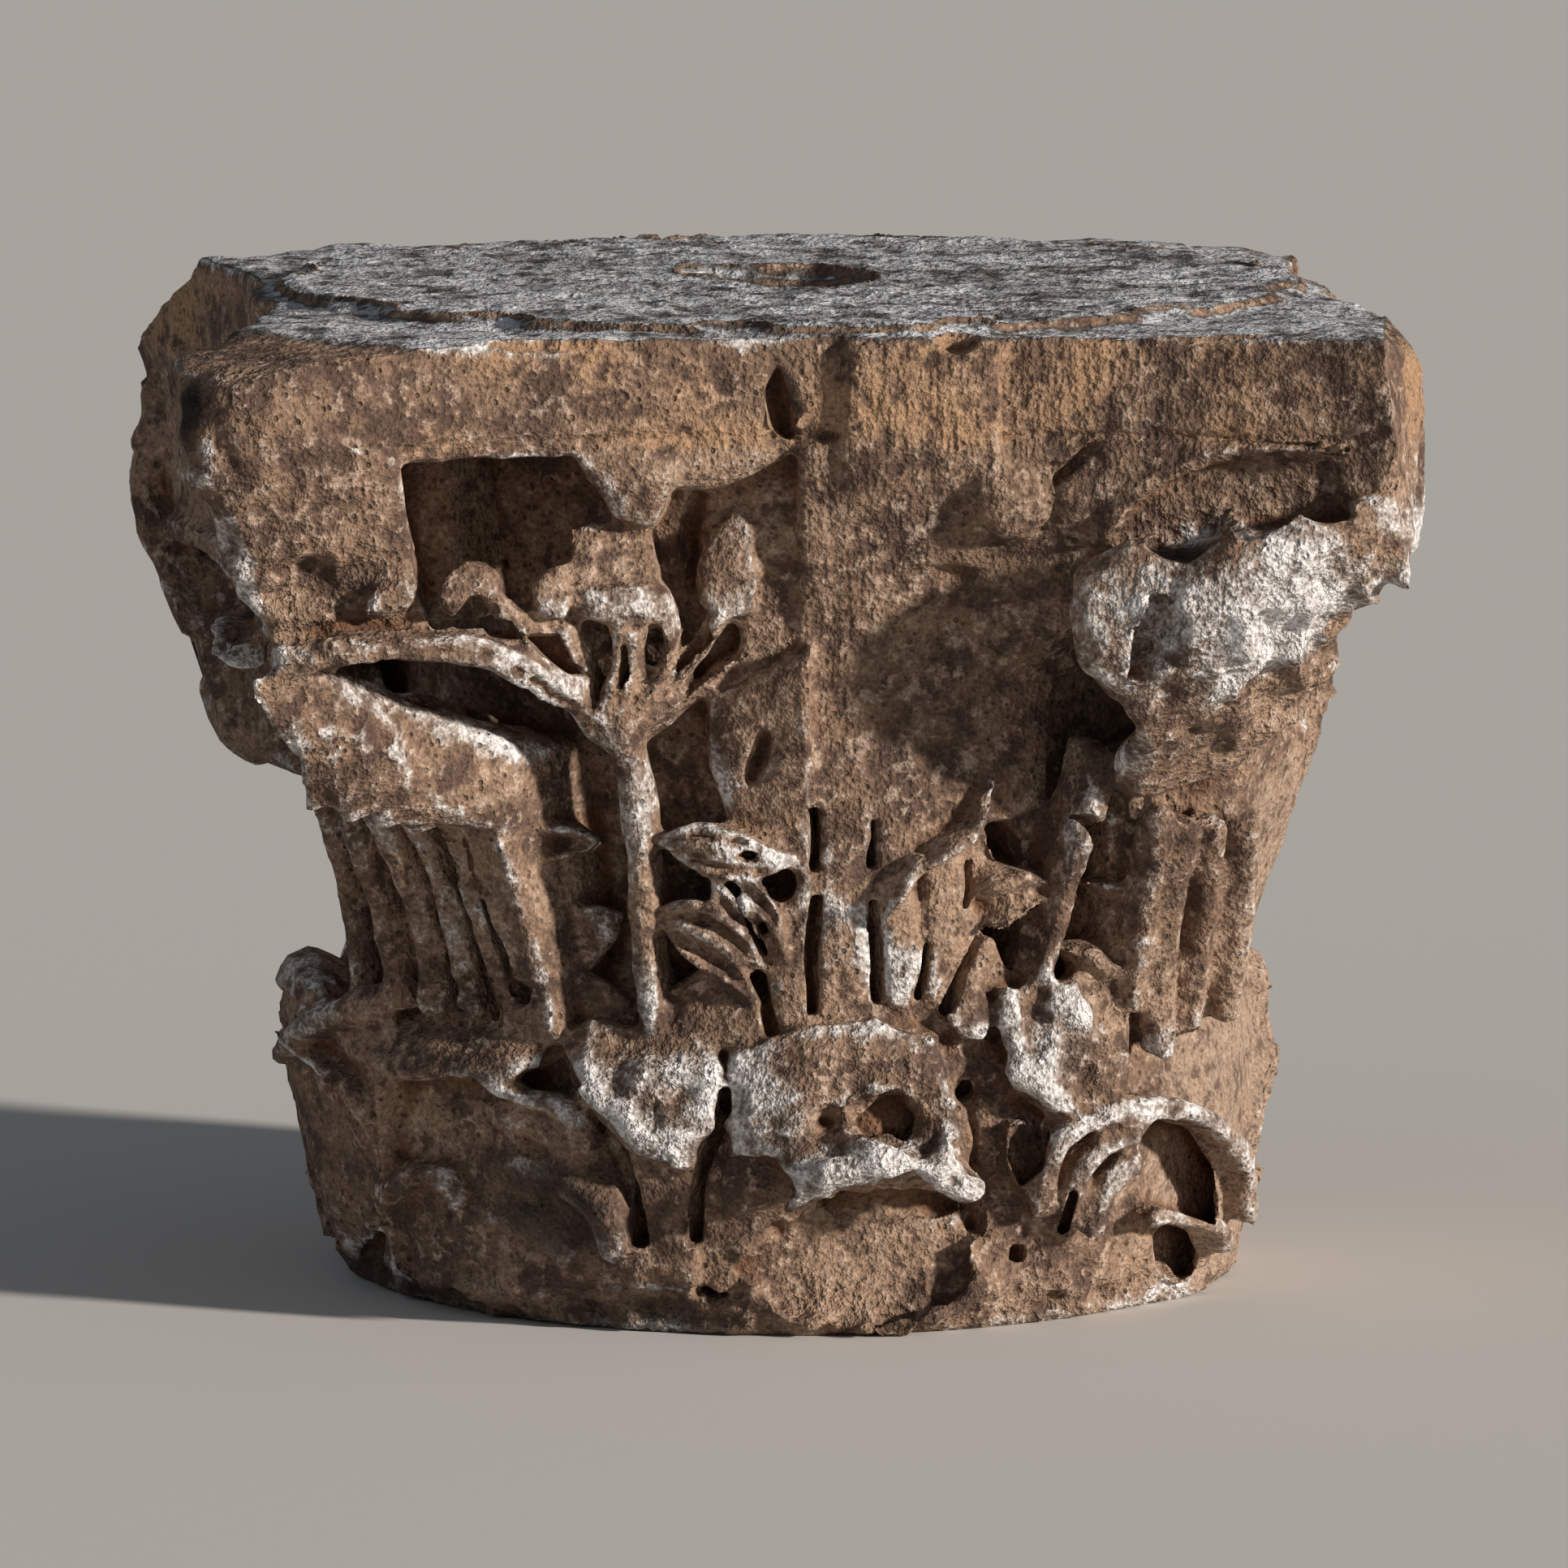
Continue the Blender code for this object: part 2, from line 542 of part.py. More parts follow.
# Each tip of the fan: across, level, back, half sizes across, outwards and upwards, and its lean
FAN_TIPS = (
    (0.275, 0.738, 0.004, 0.028, 0.018, 0.018, 0.0),
    (0.240, 0.734, 0.006, 0.014, 0.014, 0.014, 0.0),
    (0.213, 0.750, 0.004, 0.021, 0.018, 0.022, 12.0),
    (0.172, 0.750, 0.008, 0.018, 0.018, 0.024, 10.0),
    (0.133, 0.762, 0.008, 0.025, 0.018, 0.028, 0.0),
    (0.066, 0.757, 0.026, 0.019, 0.015, 0.034, -14.0),
    (0.040, 0.765, 0.028, 0.011, 0.014, 0.050, 4.0),
)


def beside(rows, side, hand):
    """Points of one half of the upper carving, moved to the side and hand in question."""
    return [edge_spot(side, CARVING_SHIFT + hand * across, level, back) for across, level, back in rows]


def tapered(name, points, half_width, half_depth, sides=7):
    return limb(name, [(point, half_width, half_depth) for point in points], sides=sides)


def calyx(side, hand):
    """The stalk and the fan of ribs that opens from it to the corner, the helix and the boss."""
    middle = side + CARVING_TURN
    parts = [rib("stalk", mirrored(STALK, side, hand), (0.0082, 0.0120), (0.012, 0.014))]
    parts.append(lump("knot", spot(middle + hand * 26.4, 0.492, 0.030), (0.0135, 0.013, 0.010), side))
    parts.append(lump("node", spot(middle + hand * 27.0, 0.603, 0.028), (0.017, 0.014, 0.015), side))
    parts.append(tapered("volute_stem", beside(VOLUTE_STEM, side, hand), 0.0100, 0.014))
    for rows in FAN_RIBS:
        parts.append(tapered("fan_rib", beside(rows, side, hand), 0.0080, 0.013))
    for across, level, back, wide, deep, high, lean in FAN_TIPS:
        centre = beside(((across, level, back),), side, hand)[0]
        parts.append(lump("fan_tip", centre, (wide, deep, high), side, lean=-hand * lean))
    return parts


def stalk_leaves(side, hand):
    """The pairs of leaflets up a stalk, towards the corner and towards the middle of the side."""
    rows = (
        ((38.0, 0.489), (29.2, 0.494), 0.012, 0.0),
        ((33.8, 0.352), (28.8, 0.415), 0.013, 2.0),
        ((38.0, 0.300), (30.0, 0.345), 0.015, 2.0),
        ((36.4, 0.470), (41.5, 0.425), 0.010, 0.0),
        ((8.0, 0.484), (23.1, 0.490), 0.011, 0.0),
        ((9.6, 0.308), (23.0, 0.410), 0.012, -2.4),
        ((8.8, 0.372), (18.0, 0.462), 0.009, -2.0),
        ((9.0, 0.400), (12.5, 0.468), 0.008, 0.0),
        ((19.6, 0.292), (18.5, 0.352), 0.017, 0.0),
    )
    leaves = []
    for base, tip, half_width, bend in rows:
        start, end = mirrored((base, tip), side, hand)
        leaves.append(leaflet("stalk_leaf", start, end, half_width, bend=hand * bend))
    return leaves


def under_abacus(side, hand):
    """The helix lobe by the boss, and the strut left between the edge of the abacus and the fan."""
    strut = (
        (0.165, 0.900, 0.004), (0.098, 0.900, 0.004), (0.096, 0.850, 0.004), (0.108, 0.808, 0.006),
        (0.126, 0.812, 0.006), (0.158, 0.868, 0.006), (0.165, 0.900, 0.060), (0.098, 0.900, 0.060),
        (0.104, 0.840, 0.050), (0.140, 0.850, 0.050),
    )
    lobe = beside(((0.068, 0.865, 0.022),), side, hand)[0]
    return [
        hull("strut", beside(strut, side, hand)),
        lump("helix_lobe", lobe, (0.036, 0.017, 0.014), side, lean=-hand * 10.0),
    ]


def volute_band(side):
    """The rim of the broken volute: a band that rises to the abacus and runs to the corner."""
    rim = (
        (0.152, 0.795, 0.004), (0.172, 0.840, 0.003), (0.205, 0.868, 0.003), (0.250, 0.880, 0.004),
        (0.315, 0.882, 0.006),
    )
    return tapered("volute_band", [edge_spot(side, *row) for row in rim], 0.010, 0.010)


def rough_out():
    """The block as first roughed out: bell, abacus, and the masses for leaves and volutes."""
    parts = [bell(), skirt(), abacus(), bearing_bed(), abacus_boss(FRONT, 0.043)]
    parts += [abacus_boss(side, 0.012) for side in (RIGHT, BACK, LEFT)]
    parts += [volute_block(corner, 0.060, 0.695, 0.085) for corner in FINISHED_CORNERS]
    parts.append(volute_block(FRONT_RIGHT, 0.085, 0.740, 0.030))
    for corner in FINISHED_CORNERS:
        parts += corner_leaf(corner)
    parts += fallen_corner_leaf(FRONT)
    parts += [
        lower_leaf(CARVING_TURN + 45.0 * step, proud=0.50 if step == 2 else 1.0) for step in range(1, 8)
    ]
    parts += front_middle_leaf()
    parts.append(sector("uncut_panel", -4.7, 27.0, UNCUT_PANEL, steps=10))
    parts.append(sector("seam_strip", -11.0, -4.0, ((0.505, 0.020), (0.60, 0.019), (0.70, 0.015)), steps=3))
    for side in (RIGHT, BACK, LEFT):
        parts.append(sector(
            "middle_strip", side + CARVING_TURN - 6.0, side + CARVING_TURN + 6.0,
            ((0.300, 0.026), (0.55, 0.020), (0.80, 0.014), (UNDERSIDE_LEVEL + 0.01, 0.014)), steps=4,
        ))
    return parts


def raise_carving():
    """Stems, ribs, leaflets and lobes, raised on the roughed-out block."""
    parts = []
    for side in SIDES:
        for hand in (-1, 1):
            if side == FRONT and hand == 1:
                continue
            parts += calyx(side, hand) + stalk_leaves(side, hand) + under_abacus(side, hand)
    parts += unfinished_half()
    for corner in FINISHED_CORNERS:
        parts += corner_leaf_ribs(corner)
        for hand in (-1, 1):
            parts += corner_leaf_lobes(corner, hand)
    parts += left_face_lobe() + fallen_leaf_ribs()
    parts.append(volute_band(FRONT))
    for step in range(1, 8):
        parts += lower_leaf_relief(CARVING_TURN + 45.0 * step)
    return parts


def unfinished_half():
    """The right half of the front, where the stalk and some upright fillets were only begun."""
    stalk = ((24.2, 0.345, 0.036), (25.9, 0.43, 0.034), (28.2, 0.525, 0.044))
    parts = [rib("stalk", stalk, (0.009, 0.011), (0.012, 0.013))]
    for base, tip, half_width in (
        ((17.0, 0.435), (24.6, 0.445), 0.014), ((17.6, 0.36), (21.0, 0.43), 0.010),
        ((34.0, 0.455), (28.0, 0.425), 0.008), ((34.0, 0.37), (28.5, 0.345), 0.012),
    ):
        parts.append(leaflet("stalk_leaf", base, tip, half_width, proud=0.032))
    return parts


def drill():
    """Slots and eyes drilled last, where the shadow lines are."""
    cuts = []
    for azimuth, low, high, half_width, shift in (
        (-3.3, 0.325, 0.455, 0.0048, 0.5), (-2.7, 0.470, 0.520, 0.0050, 0.0),
        (5.8, 0.325, 0.437, 0.0042, -1.0), (4.6, 0.452, 0.505, 0.0050, -0.2),
        (10.2, 0.330, 0.400, 0.0032, -0.6), (22.6, 0.345, 0.415, 0.0085, -0.8),
    ):
        cuts.append(gap(azimuth, low, high, half_width, proud=0.034, depth=0.022, shift=shift))
    cuts.append(lump("pocket", spot(22.4, 0.478, 0.034), (0.013, 0.024, 0.016), 22.0))
    cuts.append(lump("pocket", spot(31.0, 0.398, 0.048), (0.012, 0.026, 0.014), 31.0))
    cuts.append(lump("pocket", spot(32.0, 0.478, 0.066), (0.012, 0.034, 0.020), 31.0))
    for side in (RIGHT, BACK, LEFT):
        for hand in (-1, 1):
            for azimuth, low, high in ((22.4, 0.085, 0.20), (7.4, 0.33, 0.46)):
                angle = side + CARVING_TURN + hand * azimuth
                cuts.append(gap(angle, low, high, 0.0055, proud=0.034, depth=0.024))
    for side in SIDES:
        for hand in (-1, 1):
            if side == FRONT and hand == 1:
                continue
            angle = side + CARVING_TURN + hand * 29.2
            cuts.append(gap(angle, 0.632, 0.700, 0.0048, proud=0.034, depth=0.022))
    for corner in FINISHED_CORNERS:
        for hand in (-1, 1):
            turn = corner + hand * 7.0
            cuts.append(lump("strip_eye", spot(turn, 0.440, 0.034), (0.008, 0.020, 0.009), turn, detail=1))
            cuts.append(gap(turn - hand * 4.0, 0.320, 0.520, 0.0050, proud=0.048, depth=0.024))
    for step in range(1, 8):
        cuts += lower_leaf_eyes(CARVING_TURN + 45.0 * step)
    cuts += front_middle_hollows()
    cuts.append(lump("dowel_bowl", Vector((0.004, 0.006, HEIGHT + 0.006)), (0.052, 0.066, 0.016), 0.0))
    cuts.append(turned("dowel_hole", [
        (0.0, HEIGHT + 0.02), (DOWEL_RADIUS * 1.35, HEIGHT + 0.02), (DOWEL_RADIUS, HEIGHT - DOWEL_DEPTH),
        (0.0, HEIGHT - DOWEL_DEPTH),
    ], segments=16))
    return cuts


def slice_off(name, point, normal, size=0.5):
    """A big block that takes away everything beyond the plane through that point."""
    away = Vector(normal).normalized()
    turn = away.to_track_quat("Z", "Y").to_matrix().to_4x4()
    work = bmesh.new()
    place = Matrix.Translation(Vector(point) + away * size / 2) @ turn @ Matrix.Scale(size, 4)
    bmesh.ops.create_cube(work, size=1.0, matrix=place)
    return finish(work, name)


def breaks():
    """What is lost: two corners of the abacus knocked off, a third rounded, and worn upper edges."""
    half = ABACUS_HALF_SIDE
    cuts = [
        slice_off("front_right_break", (half * 0.815, -half * 0.80, ABACUS_TOP), (1.0, 0.10, 0.30)),
        slice_off("front_right_under", (half * 0.880, -half * 0.80, 0.82 * HEIGHT), (1.0, -0.10, -0.55)),
        slice_off("back_right_break", (half * 0.66, half * 0.66, ABACUS_TOP), (0.75, 0.66, 0.05)),
        slice_off("back_left_break", (-half * 0.80, half * 0.80, ABACUS_TOP - 0.018), (-0.36, 0.36, 0.80)),
        slice_off("back_left_tip", (-half * 0.915, half * 0.915, ABACUS_TOP - 0.036), (-0.56, 0.56, 0.62)),
        slice_off("back_left_end", (-half * 0.950, half * 0.950, ABACUS_TOP - 0.062), (-0.66, 0.66, 0.28)),
        slice_off("front_left_wear", (-half * 0.80, -half * 0.80, ABACUS_TOP - 0.003), (-0.10, -0.10, 1.0)),
        slice_off("front_left_round", (-half * 0.955, -half * 0.93, ABACUS_TOP - 0.012),
                  (-0.62, -0.52, 0.58)),
    ]
    return cuts


def join(parts, name):
    """One object from several, with the others removed."""
    work = bmesh.new()
    for part in parts:
        work.from_mesh(part.data)
        mesh = part.data
        bpy.data.objects.remove(part)
        bpy.data.meshes.remove(mesh)
    mesh = bpy.data.meshes.new(name)
    work.to_mesh(mesh)
    work.free()
    item = bpy.data.objects.new(name, mesh)
    bpy.context.scene.collection.objects.link(item)
    return item


def bake(item):
    """Makes the object's modifiers final."""
    graph = bpy.context.evaluated_depsgraph_get()
    mesh = bpy.data.meshes.new_from_object(item.evaluated_get(graph))
    old = item.data
    item.modifiers.clear()
    item.data = mesh
    bpy.data.meshes.remove(old)
    return item


def fuse(item, grain=GRAIN):
    """Makes overlapping masses one skin of even grain."""
    skin = item.modifiers.new("one_skin", "REMESH")
    skin.mode = "VOXEL"
    skin.voxel_size = grain
    return bake(item)


def carve_away(item, cuts, name):
    """Takes the fused cutters away from the block."""
    cutter = fuse(join(cuts, name))
    cutter.hide_render = True
    cutter.display_type = "WIRE"
    cut = item.modifiers.new(name, "BOOLEAN")
    cut.operation = "DIFFERENCE"
    cut.solver = "MANIFOLD"
    cut.object = cutter
    bake(item)
    bpy.data.objects.remove(cutter)
    return item


def keep_block(item):
    """Keeps the block's own skin, without the chips cut loose from it or the hollows shut up inside it."""
    work = bmesh.new()
    work.from_mesh(item.data)
    left = set(work.verts)
    skins = []
    while left:
        skin, edge_of_skin = set(), [left.pop()]
        while edge_of_skin:
            vert = edge_of_skin.pop()
            skin.add(vert)
            near = {edge.other_vert(vert) for edge in vert.link_edges} & left
            left -= near
            edge_of_skin.extend(near)
        skins.append(skin)
    block_skin = max(skins, key=len)
    lost = [vert for skin in skins if skin is not block_skin for vert in skin]
    bmesh.ops.delete(work, geom=lost, context="VERTS")
    work.to_mesh(item.data)
    work.free()
    return item


def wear(item, passes):
    """Softens every arris a little, as long weathering does."""
    soften = item.modifiers.new("weathering", "SMOOTH")
    soften.factor = 0.5
    soften.iterations = passes
    return bake(item)


def thin_out(item, faces):
    """Brings the skin down to that many triangles, keeping them where the form turns.

    Thinning leaves a few loose flaps, single triangles that hang on one edge, and they are taken off.
    """
    skin = bmesh.new()
    skin.from_mesh(item.data)
    triangles = sum(len(face.verts) - 2 for face in skin.faces)
    skin.free()
    fewer = item.modifiers.new("fewer_faces", "DECIMATE")
    fewer.ratio = faces / triangles
    fewer.use_collapse_triangulate = True
    bake(item)
    work = bmesh.new()
    work.from_mesh(item.data)
    flaps = [face for face in work.faces if sum(edge.is_boundary for edge in face.edges) > 1]
    bmesh.ops.delete(work, geom=flaps, context="FACES")
    work.to_mesh(item.data)
    work.free()
    return item


def dress_beds(item):
    """Saws the upper and lower beds flat, which gives them true planes."""
    work = bmesh.new()
    work.from_mesh(item.data)
    for height, up in ((HEIGHT - 0.0006, 1), (0.0008, -1)):
        geometry = work.verts[:] + work.edges[:] + work.faces[:]
        cut = bmesh.ops.bisect_plane(
            work, geom=geometry, plane_co=(0, 0, height), plane_no=(0, 0, up), clear_outer=True,
        )["geom_cut"]
        rim = [part for part in cut if isinstance(part, bmesh.types.BMEdge)]
        bmesh.ops.triangle_fill(work, edges=rim, use_beauty=True, use_dissolve=False, normal=(0, 0, up))
        level = HEIGHT if up == 1 else 0.0
        for vert in {vert for edge in rim for vert in edge.verts}:
            vert.co.z = level
    bmesh.ops.triangulate(work, faces=work.faces)
    bmesh.ops.recalc_face_normals(work, faces=work.faces)
    work.to_mesh(item.data)
    work.free()
    return item


def marble():
    material = bpy.data.materials.new("weathered_marble")
    material.use_nodes = True
    shader = material.node_tree.nodes["Principled BSDF"]
    shader.inputs["Base Color"].default_value = (0.36, 0.25, 0.17, 1.0)
    shader.inputs["Roughness"].default_value = 0.9
    shader.inputs["Metallic"].default_value = 0.0
    return material


def build():
    for item in list(bpy.data.objects):
        bpy.data.objects.remove(item)
    capital = fuse(join(rough_out() + raise_carving(), "marble_capital"))
    carve_away(capital, drill() + breaks(), "drilling")
    keep_block(capital)
    wear(capital, WORN_PASSES)
    thin_out(capital, FACES_IN_ALL)
    dress_beds(capital)
    capital.data.materials.clear()
    capital.data.materials.append(marble())
    capital.data.shade_smooth()
    capital.data.set_sharp_from_angle(angle=math.radians(40))
    return capital


build()
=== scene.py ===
"""The weathered marble capital as the eye sees it: fine carving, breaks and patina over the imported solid.

Metres, +Z up, -Y the front. Azimuths are in degrees from the front, positive towards +X.
Levels are shares of the whole height. The front was carved freely by hand, so it is set out
from the photograph's own eye; the other sides repeat its finished half, turned and mirrored.
A row of three that starts with two whole numbers is a traced point: the place in the photograph,
across and down in its pixels, and how many millimetres the point stands proud of the face there.
"""

import math

import bmesh
import bpy
import numpy as np
from mathutils import Matrix, Vector


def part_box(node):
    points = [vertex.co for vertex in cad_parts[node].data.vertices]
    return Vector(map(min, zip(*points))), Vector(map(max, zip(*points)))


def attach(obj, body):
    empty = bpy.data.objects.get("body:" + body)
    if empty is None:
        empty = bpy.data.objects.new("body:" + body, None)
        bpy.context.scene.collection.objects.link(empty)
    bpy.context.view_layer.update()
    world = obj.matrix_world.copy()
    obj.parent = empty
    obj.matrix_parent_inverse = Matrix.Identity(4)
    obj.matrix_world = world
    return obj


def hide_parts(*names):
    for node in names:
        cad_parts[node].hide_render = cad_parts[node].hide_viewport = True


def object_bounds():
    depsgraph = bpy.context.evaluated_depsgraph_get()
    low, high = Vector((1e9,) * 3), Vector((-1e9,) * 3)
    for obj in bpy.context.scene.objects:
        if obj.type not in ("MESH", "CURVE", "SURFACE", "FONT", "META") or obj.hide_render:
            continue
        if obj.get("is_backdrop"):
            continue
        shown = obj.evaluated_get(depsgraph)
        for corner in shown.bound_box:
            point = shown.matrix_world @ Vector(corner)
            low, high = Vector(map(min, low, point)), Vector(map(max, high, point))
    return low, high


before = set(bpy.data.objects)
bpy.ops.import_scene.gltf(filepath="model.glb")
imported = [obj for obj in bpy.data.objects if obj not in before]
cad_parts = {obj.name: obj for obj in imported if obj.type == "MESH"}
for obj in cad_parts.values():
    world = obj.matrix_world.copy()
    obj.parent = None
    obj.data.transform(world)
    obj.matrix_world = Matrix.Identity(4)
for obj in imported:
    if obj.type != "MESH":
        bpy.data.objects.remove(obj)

bl_info = {
    "name": "Marble Capital",
    "version": (1, 0, 0),
    "blender": (4, 5, 0),
    "location": "3D View > Sidebar > Capital",
    "description": "Carves a weathered marble capital and lights it",
    "category": "Add Mesh",
}

NODE = "marble_capital"
BLOCK_LOW, BLOCK_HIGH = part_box(NODE)
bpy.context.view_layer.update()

# Overall sizes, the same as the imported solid's
HEIGHT = BLOCK_HIGH.z
BED_RADIUS = 0.300
BED_RISE = 0.008
DOWEL_RADIUS = 0.021
DOWEL_DEPTH = 0.045
ABACUS_HALF_SIDE = 0.377
ABACUS_WAIST = 0.306
ABACUS_THICKNESS = 0.066
ABACUS_FILLET = 0.054
ABACUS_LIP_INSET = 0.005
CORNER_CUT = 0.045
BOSS_HALF_WIDTH = 0.044
BELL_FOOT_RADIUS = 0.236
BELL_LIP_RADIUS = 0.288
BELL_FLARE = 2.6
# How far the volutes' block reaches up into the abacus
VOLUTE_BITE = 0.010
# Half the width of a lower leaf on a hidden side
LEAF_HALF_WIDTH = 0.088
# How far the left side and the back left corner are drawn in towards the axis
LEFT_UPPER_GIRTH = 0.968
LEFT_LOWER_GIRTH = 0.936
BACK_LEFT_GIRTH = 0.96

FRONT, RIGHT, BACK, LEFT = 0.0, 90.0, 180.0, -90.0
SIDES = (FRONT, RIGHT, BACK, LEFT)
FRONT_LEFT, FRONT_RIGHT, BACK_RIGHT, BACK_LEFT = -45.0, 45.0, 135.0, -135.0
FINISHED_CORNERS = (BACK_RIGHT, BACK_LEFT, FRONT_LEFT)

ABACUS_TOP = HEIGHT - BED_RISE
ABACUS_UNDERSIDE = ABACUS_TOP - ABACUS_THICKNESS
CORNER_REACH = ABACUS_HALF_SIDE * math.sqrt(2) - CORNER_CUT / 2
UNDERSIDE_LEVEL = ABACUS_UNDERSIDE / HEIGHT

# The eye of the photograph
EYE_TURN = math.radians(-5.5)
EYE_RISE = math.radians(7.54)
EYE_DISTANCE = 7.0
EYE_TARGET = Vector((-0.004, 0.0, 0.2835))
EYE_FOCAL = 14630.0
PICTURE_SIDE = 1932.0
EYE_RIGHT = Vector((math.cos(EYE_TURN), math.sin(EYE_TURN), 0.0))
EYE_BACK = Vector((
    math.sin(EYE_TURN) * math.cos(EYE_RISE), -math.cos(EYE_TURN) * math.cos(EYE_RISE), math.sin(EYE_RISE),
))
EYE_UP = EYE_BACK.cross(EYE_RIGHT)

# No limb is thinner or shallower than this, in half widths
THINNEST = 0.0008
# Cross sections of a limb, as (across, outward) in half widths and half depths
SECTIONS = {
    "round": [(math.cos(math.radians(36 * step)), math.sin(math.radians(36 * step))) for step in range(10)],
    "arris": [(-0.9, -1), (-1, -0.2), (-0.45, 0.55), (0, 1), (0.45, 0.55), (1, -0.2), (0.9, -1)],
    "leaf": [
        (-0.8, -1), (-1, 0.2), (-0.92, 0.95), (-0.70, 0.95), (-0.15, 0.05), (0.15, 0.05),
        (0.70, 0.95), (0.92, 0.95), (1, 0.2), (0.8, -1),
    ],
    "strap": [(-1, -1), (-1, 0.6), (-0.75, 1), (0.75, 1), (1, 0.6), (1, -1)],
    "twin": [
        (-1, -1), (-1, 0.5), (-0.75, 1), (-0.35, 0.9), (-0.05, 0.1), (0.3, 0.9), (0.7, 1), (1, 0.5),
        (1, -1),
    ],
}


# Colour and node helpers


def linear(code):
    """The linear colour of an sRGB hex value."""
    levels = [int(code[start:start + 2], 16) / 255 for start in (1, 3, 5)]
    return tuple(v / 12.92 if v <= 0.04045 else ((v + 0.055) / 1.055) ** 2.4 for v in levels)


def add_node(tree, kind, settings=None, inputs=None):
    """One node with its settings; each input, by name or place, is a value or another node's output."""
    node = tree.nodes.new(kind)
    for name, value in (settings or {}).items():
        setattr(node, name, value)
    for name, value in (inputs or {}).items():
        if isinstance(value, bpy.types.NodeSocket):
            tree.links.new(value, node.inputs[name])
        else:
            node.inputs[name].default_value = value
    return node


# Places on the capital


def bell_radius(level):
    """The plain bell's radius at that level, before anything is raised on it."""
    share = min(max(level / UNDERSIDE_LEVEL, 0.0), 1.0)
    return BELL_FOOT_RADIUS + (BELL_LIP_RADIUS - BELL_FOOT_RADIUS) * share**BELL_FLARE


def edge_depth(across):
    """How far the hollow front edge of the abacus stands out from the axis, so far along it."""
    end = ABACUS_HALF_SIDE - CORNER_CUT / math.sqrt(2)
    return ABACUS_WAIST + (ABACUS_HALF_SIDE - ABACUS_WAIST) * (across / end) ** 2


def outward(azimuth):
    """The level direction that points away from the axis at that azimuth."""
    angle = math.radians(azimuth)
    return Vector((math.sin(angle), -math.cos(angle), 0.0))


def spot(azimuth, level, proud):
    """A point at that azimuth and level, standing proud of the bell by so many metres."""
    return outward(azimuth) * (bell_radius(level) + proud) + Vector((0, 0, level * HEIGHT))


def corner_spot(corner, across, level, reach):
    """A point under a corner of the abacus: reach goes from 0 at the bell to 1 at the corner's edge."""
    radius = bell_radius(level) + reach * (CORNER_REACH - bell_radius(level))
    side = outward(corner + 90.0)
    return outward(corner) * radius + side * across + Vector((0, 0, level * HEIGHT))


def edge_spot(side, across, level, back):
    """A point under the hollow edge of the abacus, so far along the side and so far behind the edge."""
    place = outward(side) * (edge_depth(across) - back) + outward(side + 90.0) * across
    return place + Vector((0, 0, level * HEIGHT))


def traced(place, rows):
    """The points that traced rows stand for; place is on_bell, on_edge or on_corner."""
    return [place(x, y, proud / 1000) for x, y, proud in rows]


def sight(x, y):
    """The line of sight through a place in the photograph: the eye and the way it looks."""
    middle = PICTURE_SIDE / 2
    toward = (EYE_RIGHT * (x - middle) + EYE_UP * (middle - y)) / EYE_FOCAL - EYE_BACK
    return EYE_TARGET + EYE_BACK * EYE_DISTANCE, toward


def on_bell(x, y, proud=0.0):
    """The point that the photograph shows at (x, y), where it stands so proud of the bell."""
    eye, toward = sight(x, y)
    level = 0.5
    for _ in range(4):
        radius = bell_radius(level) + proud
        a = toward.x**2 + toward.y**2
        b = eye.x * toward.x + eye.y * toward.y
        c = eye.x**2 + eye.y**2 - radius**2
        point = eye + toward * ((-b - math.sqrt(max(b * b - a * c, 0.0))) / a)
        level = point.z / HEIGHT
    return point


def on_edge(x, y, proud=0.0):
    """The point shown at (x, y), so proud of the hollow front edge of the abacus, or behind it."""
    eye, toward = sight(x, y)
    depth = ABACUS_WAIST
    for _ in range(5):
        point = eye + toward * ((-depth - proud - eye.y) / toward.y)
        depth = edge_depth(point.x)
    return point


def on_corner(x, y, proud=0.0):
    """The point shown at (x, y) on the upright plane through the axis and the back left corner."""
    eye, toward = sight(x, y)
    face = outward(BACK_LEFT + 90.0)
    return eye + toward * ((proud - eye.dot(face)) / toward.dot(face))


# Shapes, each a closed mesh that the block is fused from or cut with


def finish(work, name="shape"):
    """The worked shape as a mesh, with its faces turned outwards."""
    bmesh.ops.recalc_face_normals(work, faces=work.faces)
    mesh = bpy.data.meshes.new(name)
    work.to_mesh(mesh)
    work.free()
    return mesh


def through(points, steps):
    """Points along one smooth curve through the given stations, each a Vector with sizes."""
    rows = [tuple(row[0]) + tuple(row[1:]) for row in points]
    found = []
    last = len(rows) - 1
    for index in range(last):
        before, start = rows[max(index - 1, 0)], rows[index]
        end, after = rows[index + 1], rows[min(index + 2, last)]
        for step in range(steps):
            t = step / steps
            found.append([
                0.5 * (2 * b + (c - a) * t + (2 * a - 5 * b + 4 * c - d) * t**2
                       + (3 * b - a - 3 * c + d) * t**3)
                for a, b, c, d in zip(before, start, end, after)
            ])
    found.append(list(rows[last]))
    return [(Vector(row[:3]), max(row[3], THINNEST), max(row[4], THINNEST)) for row in found]


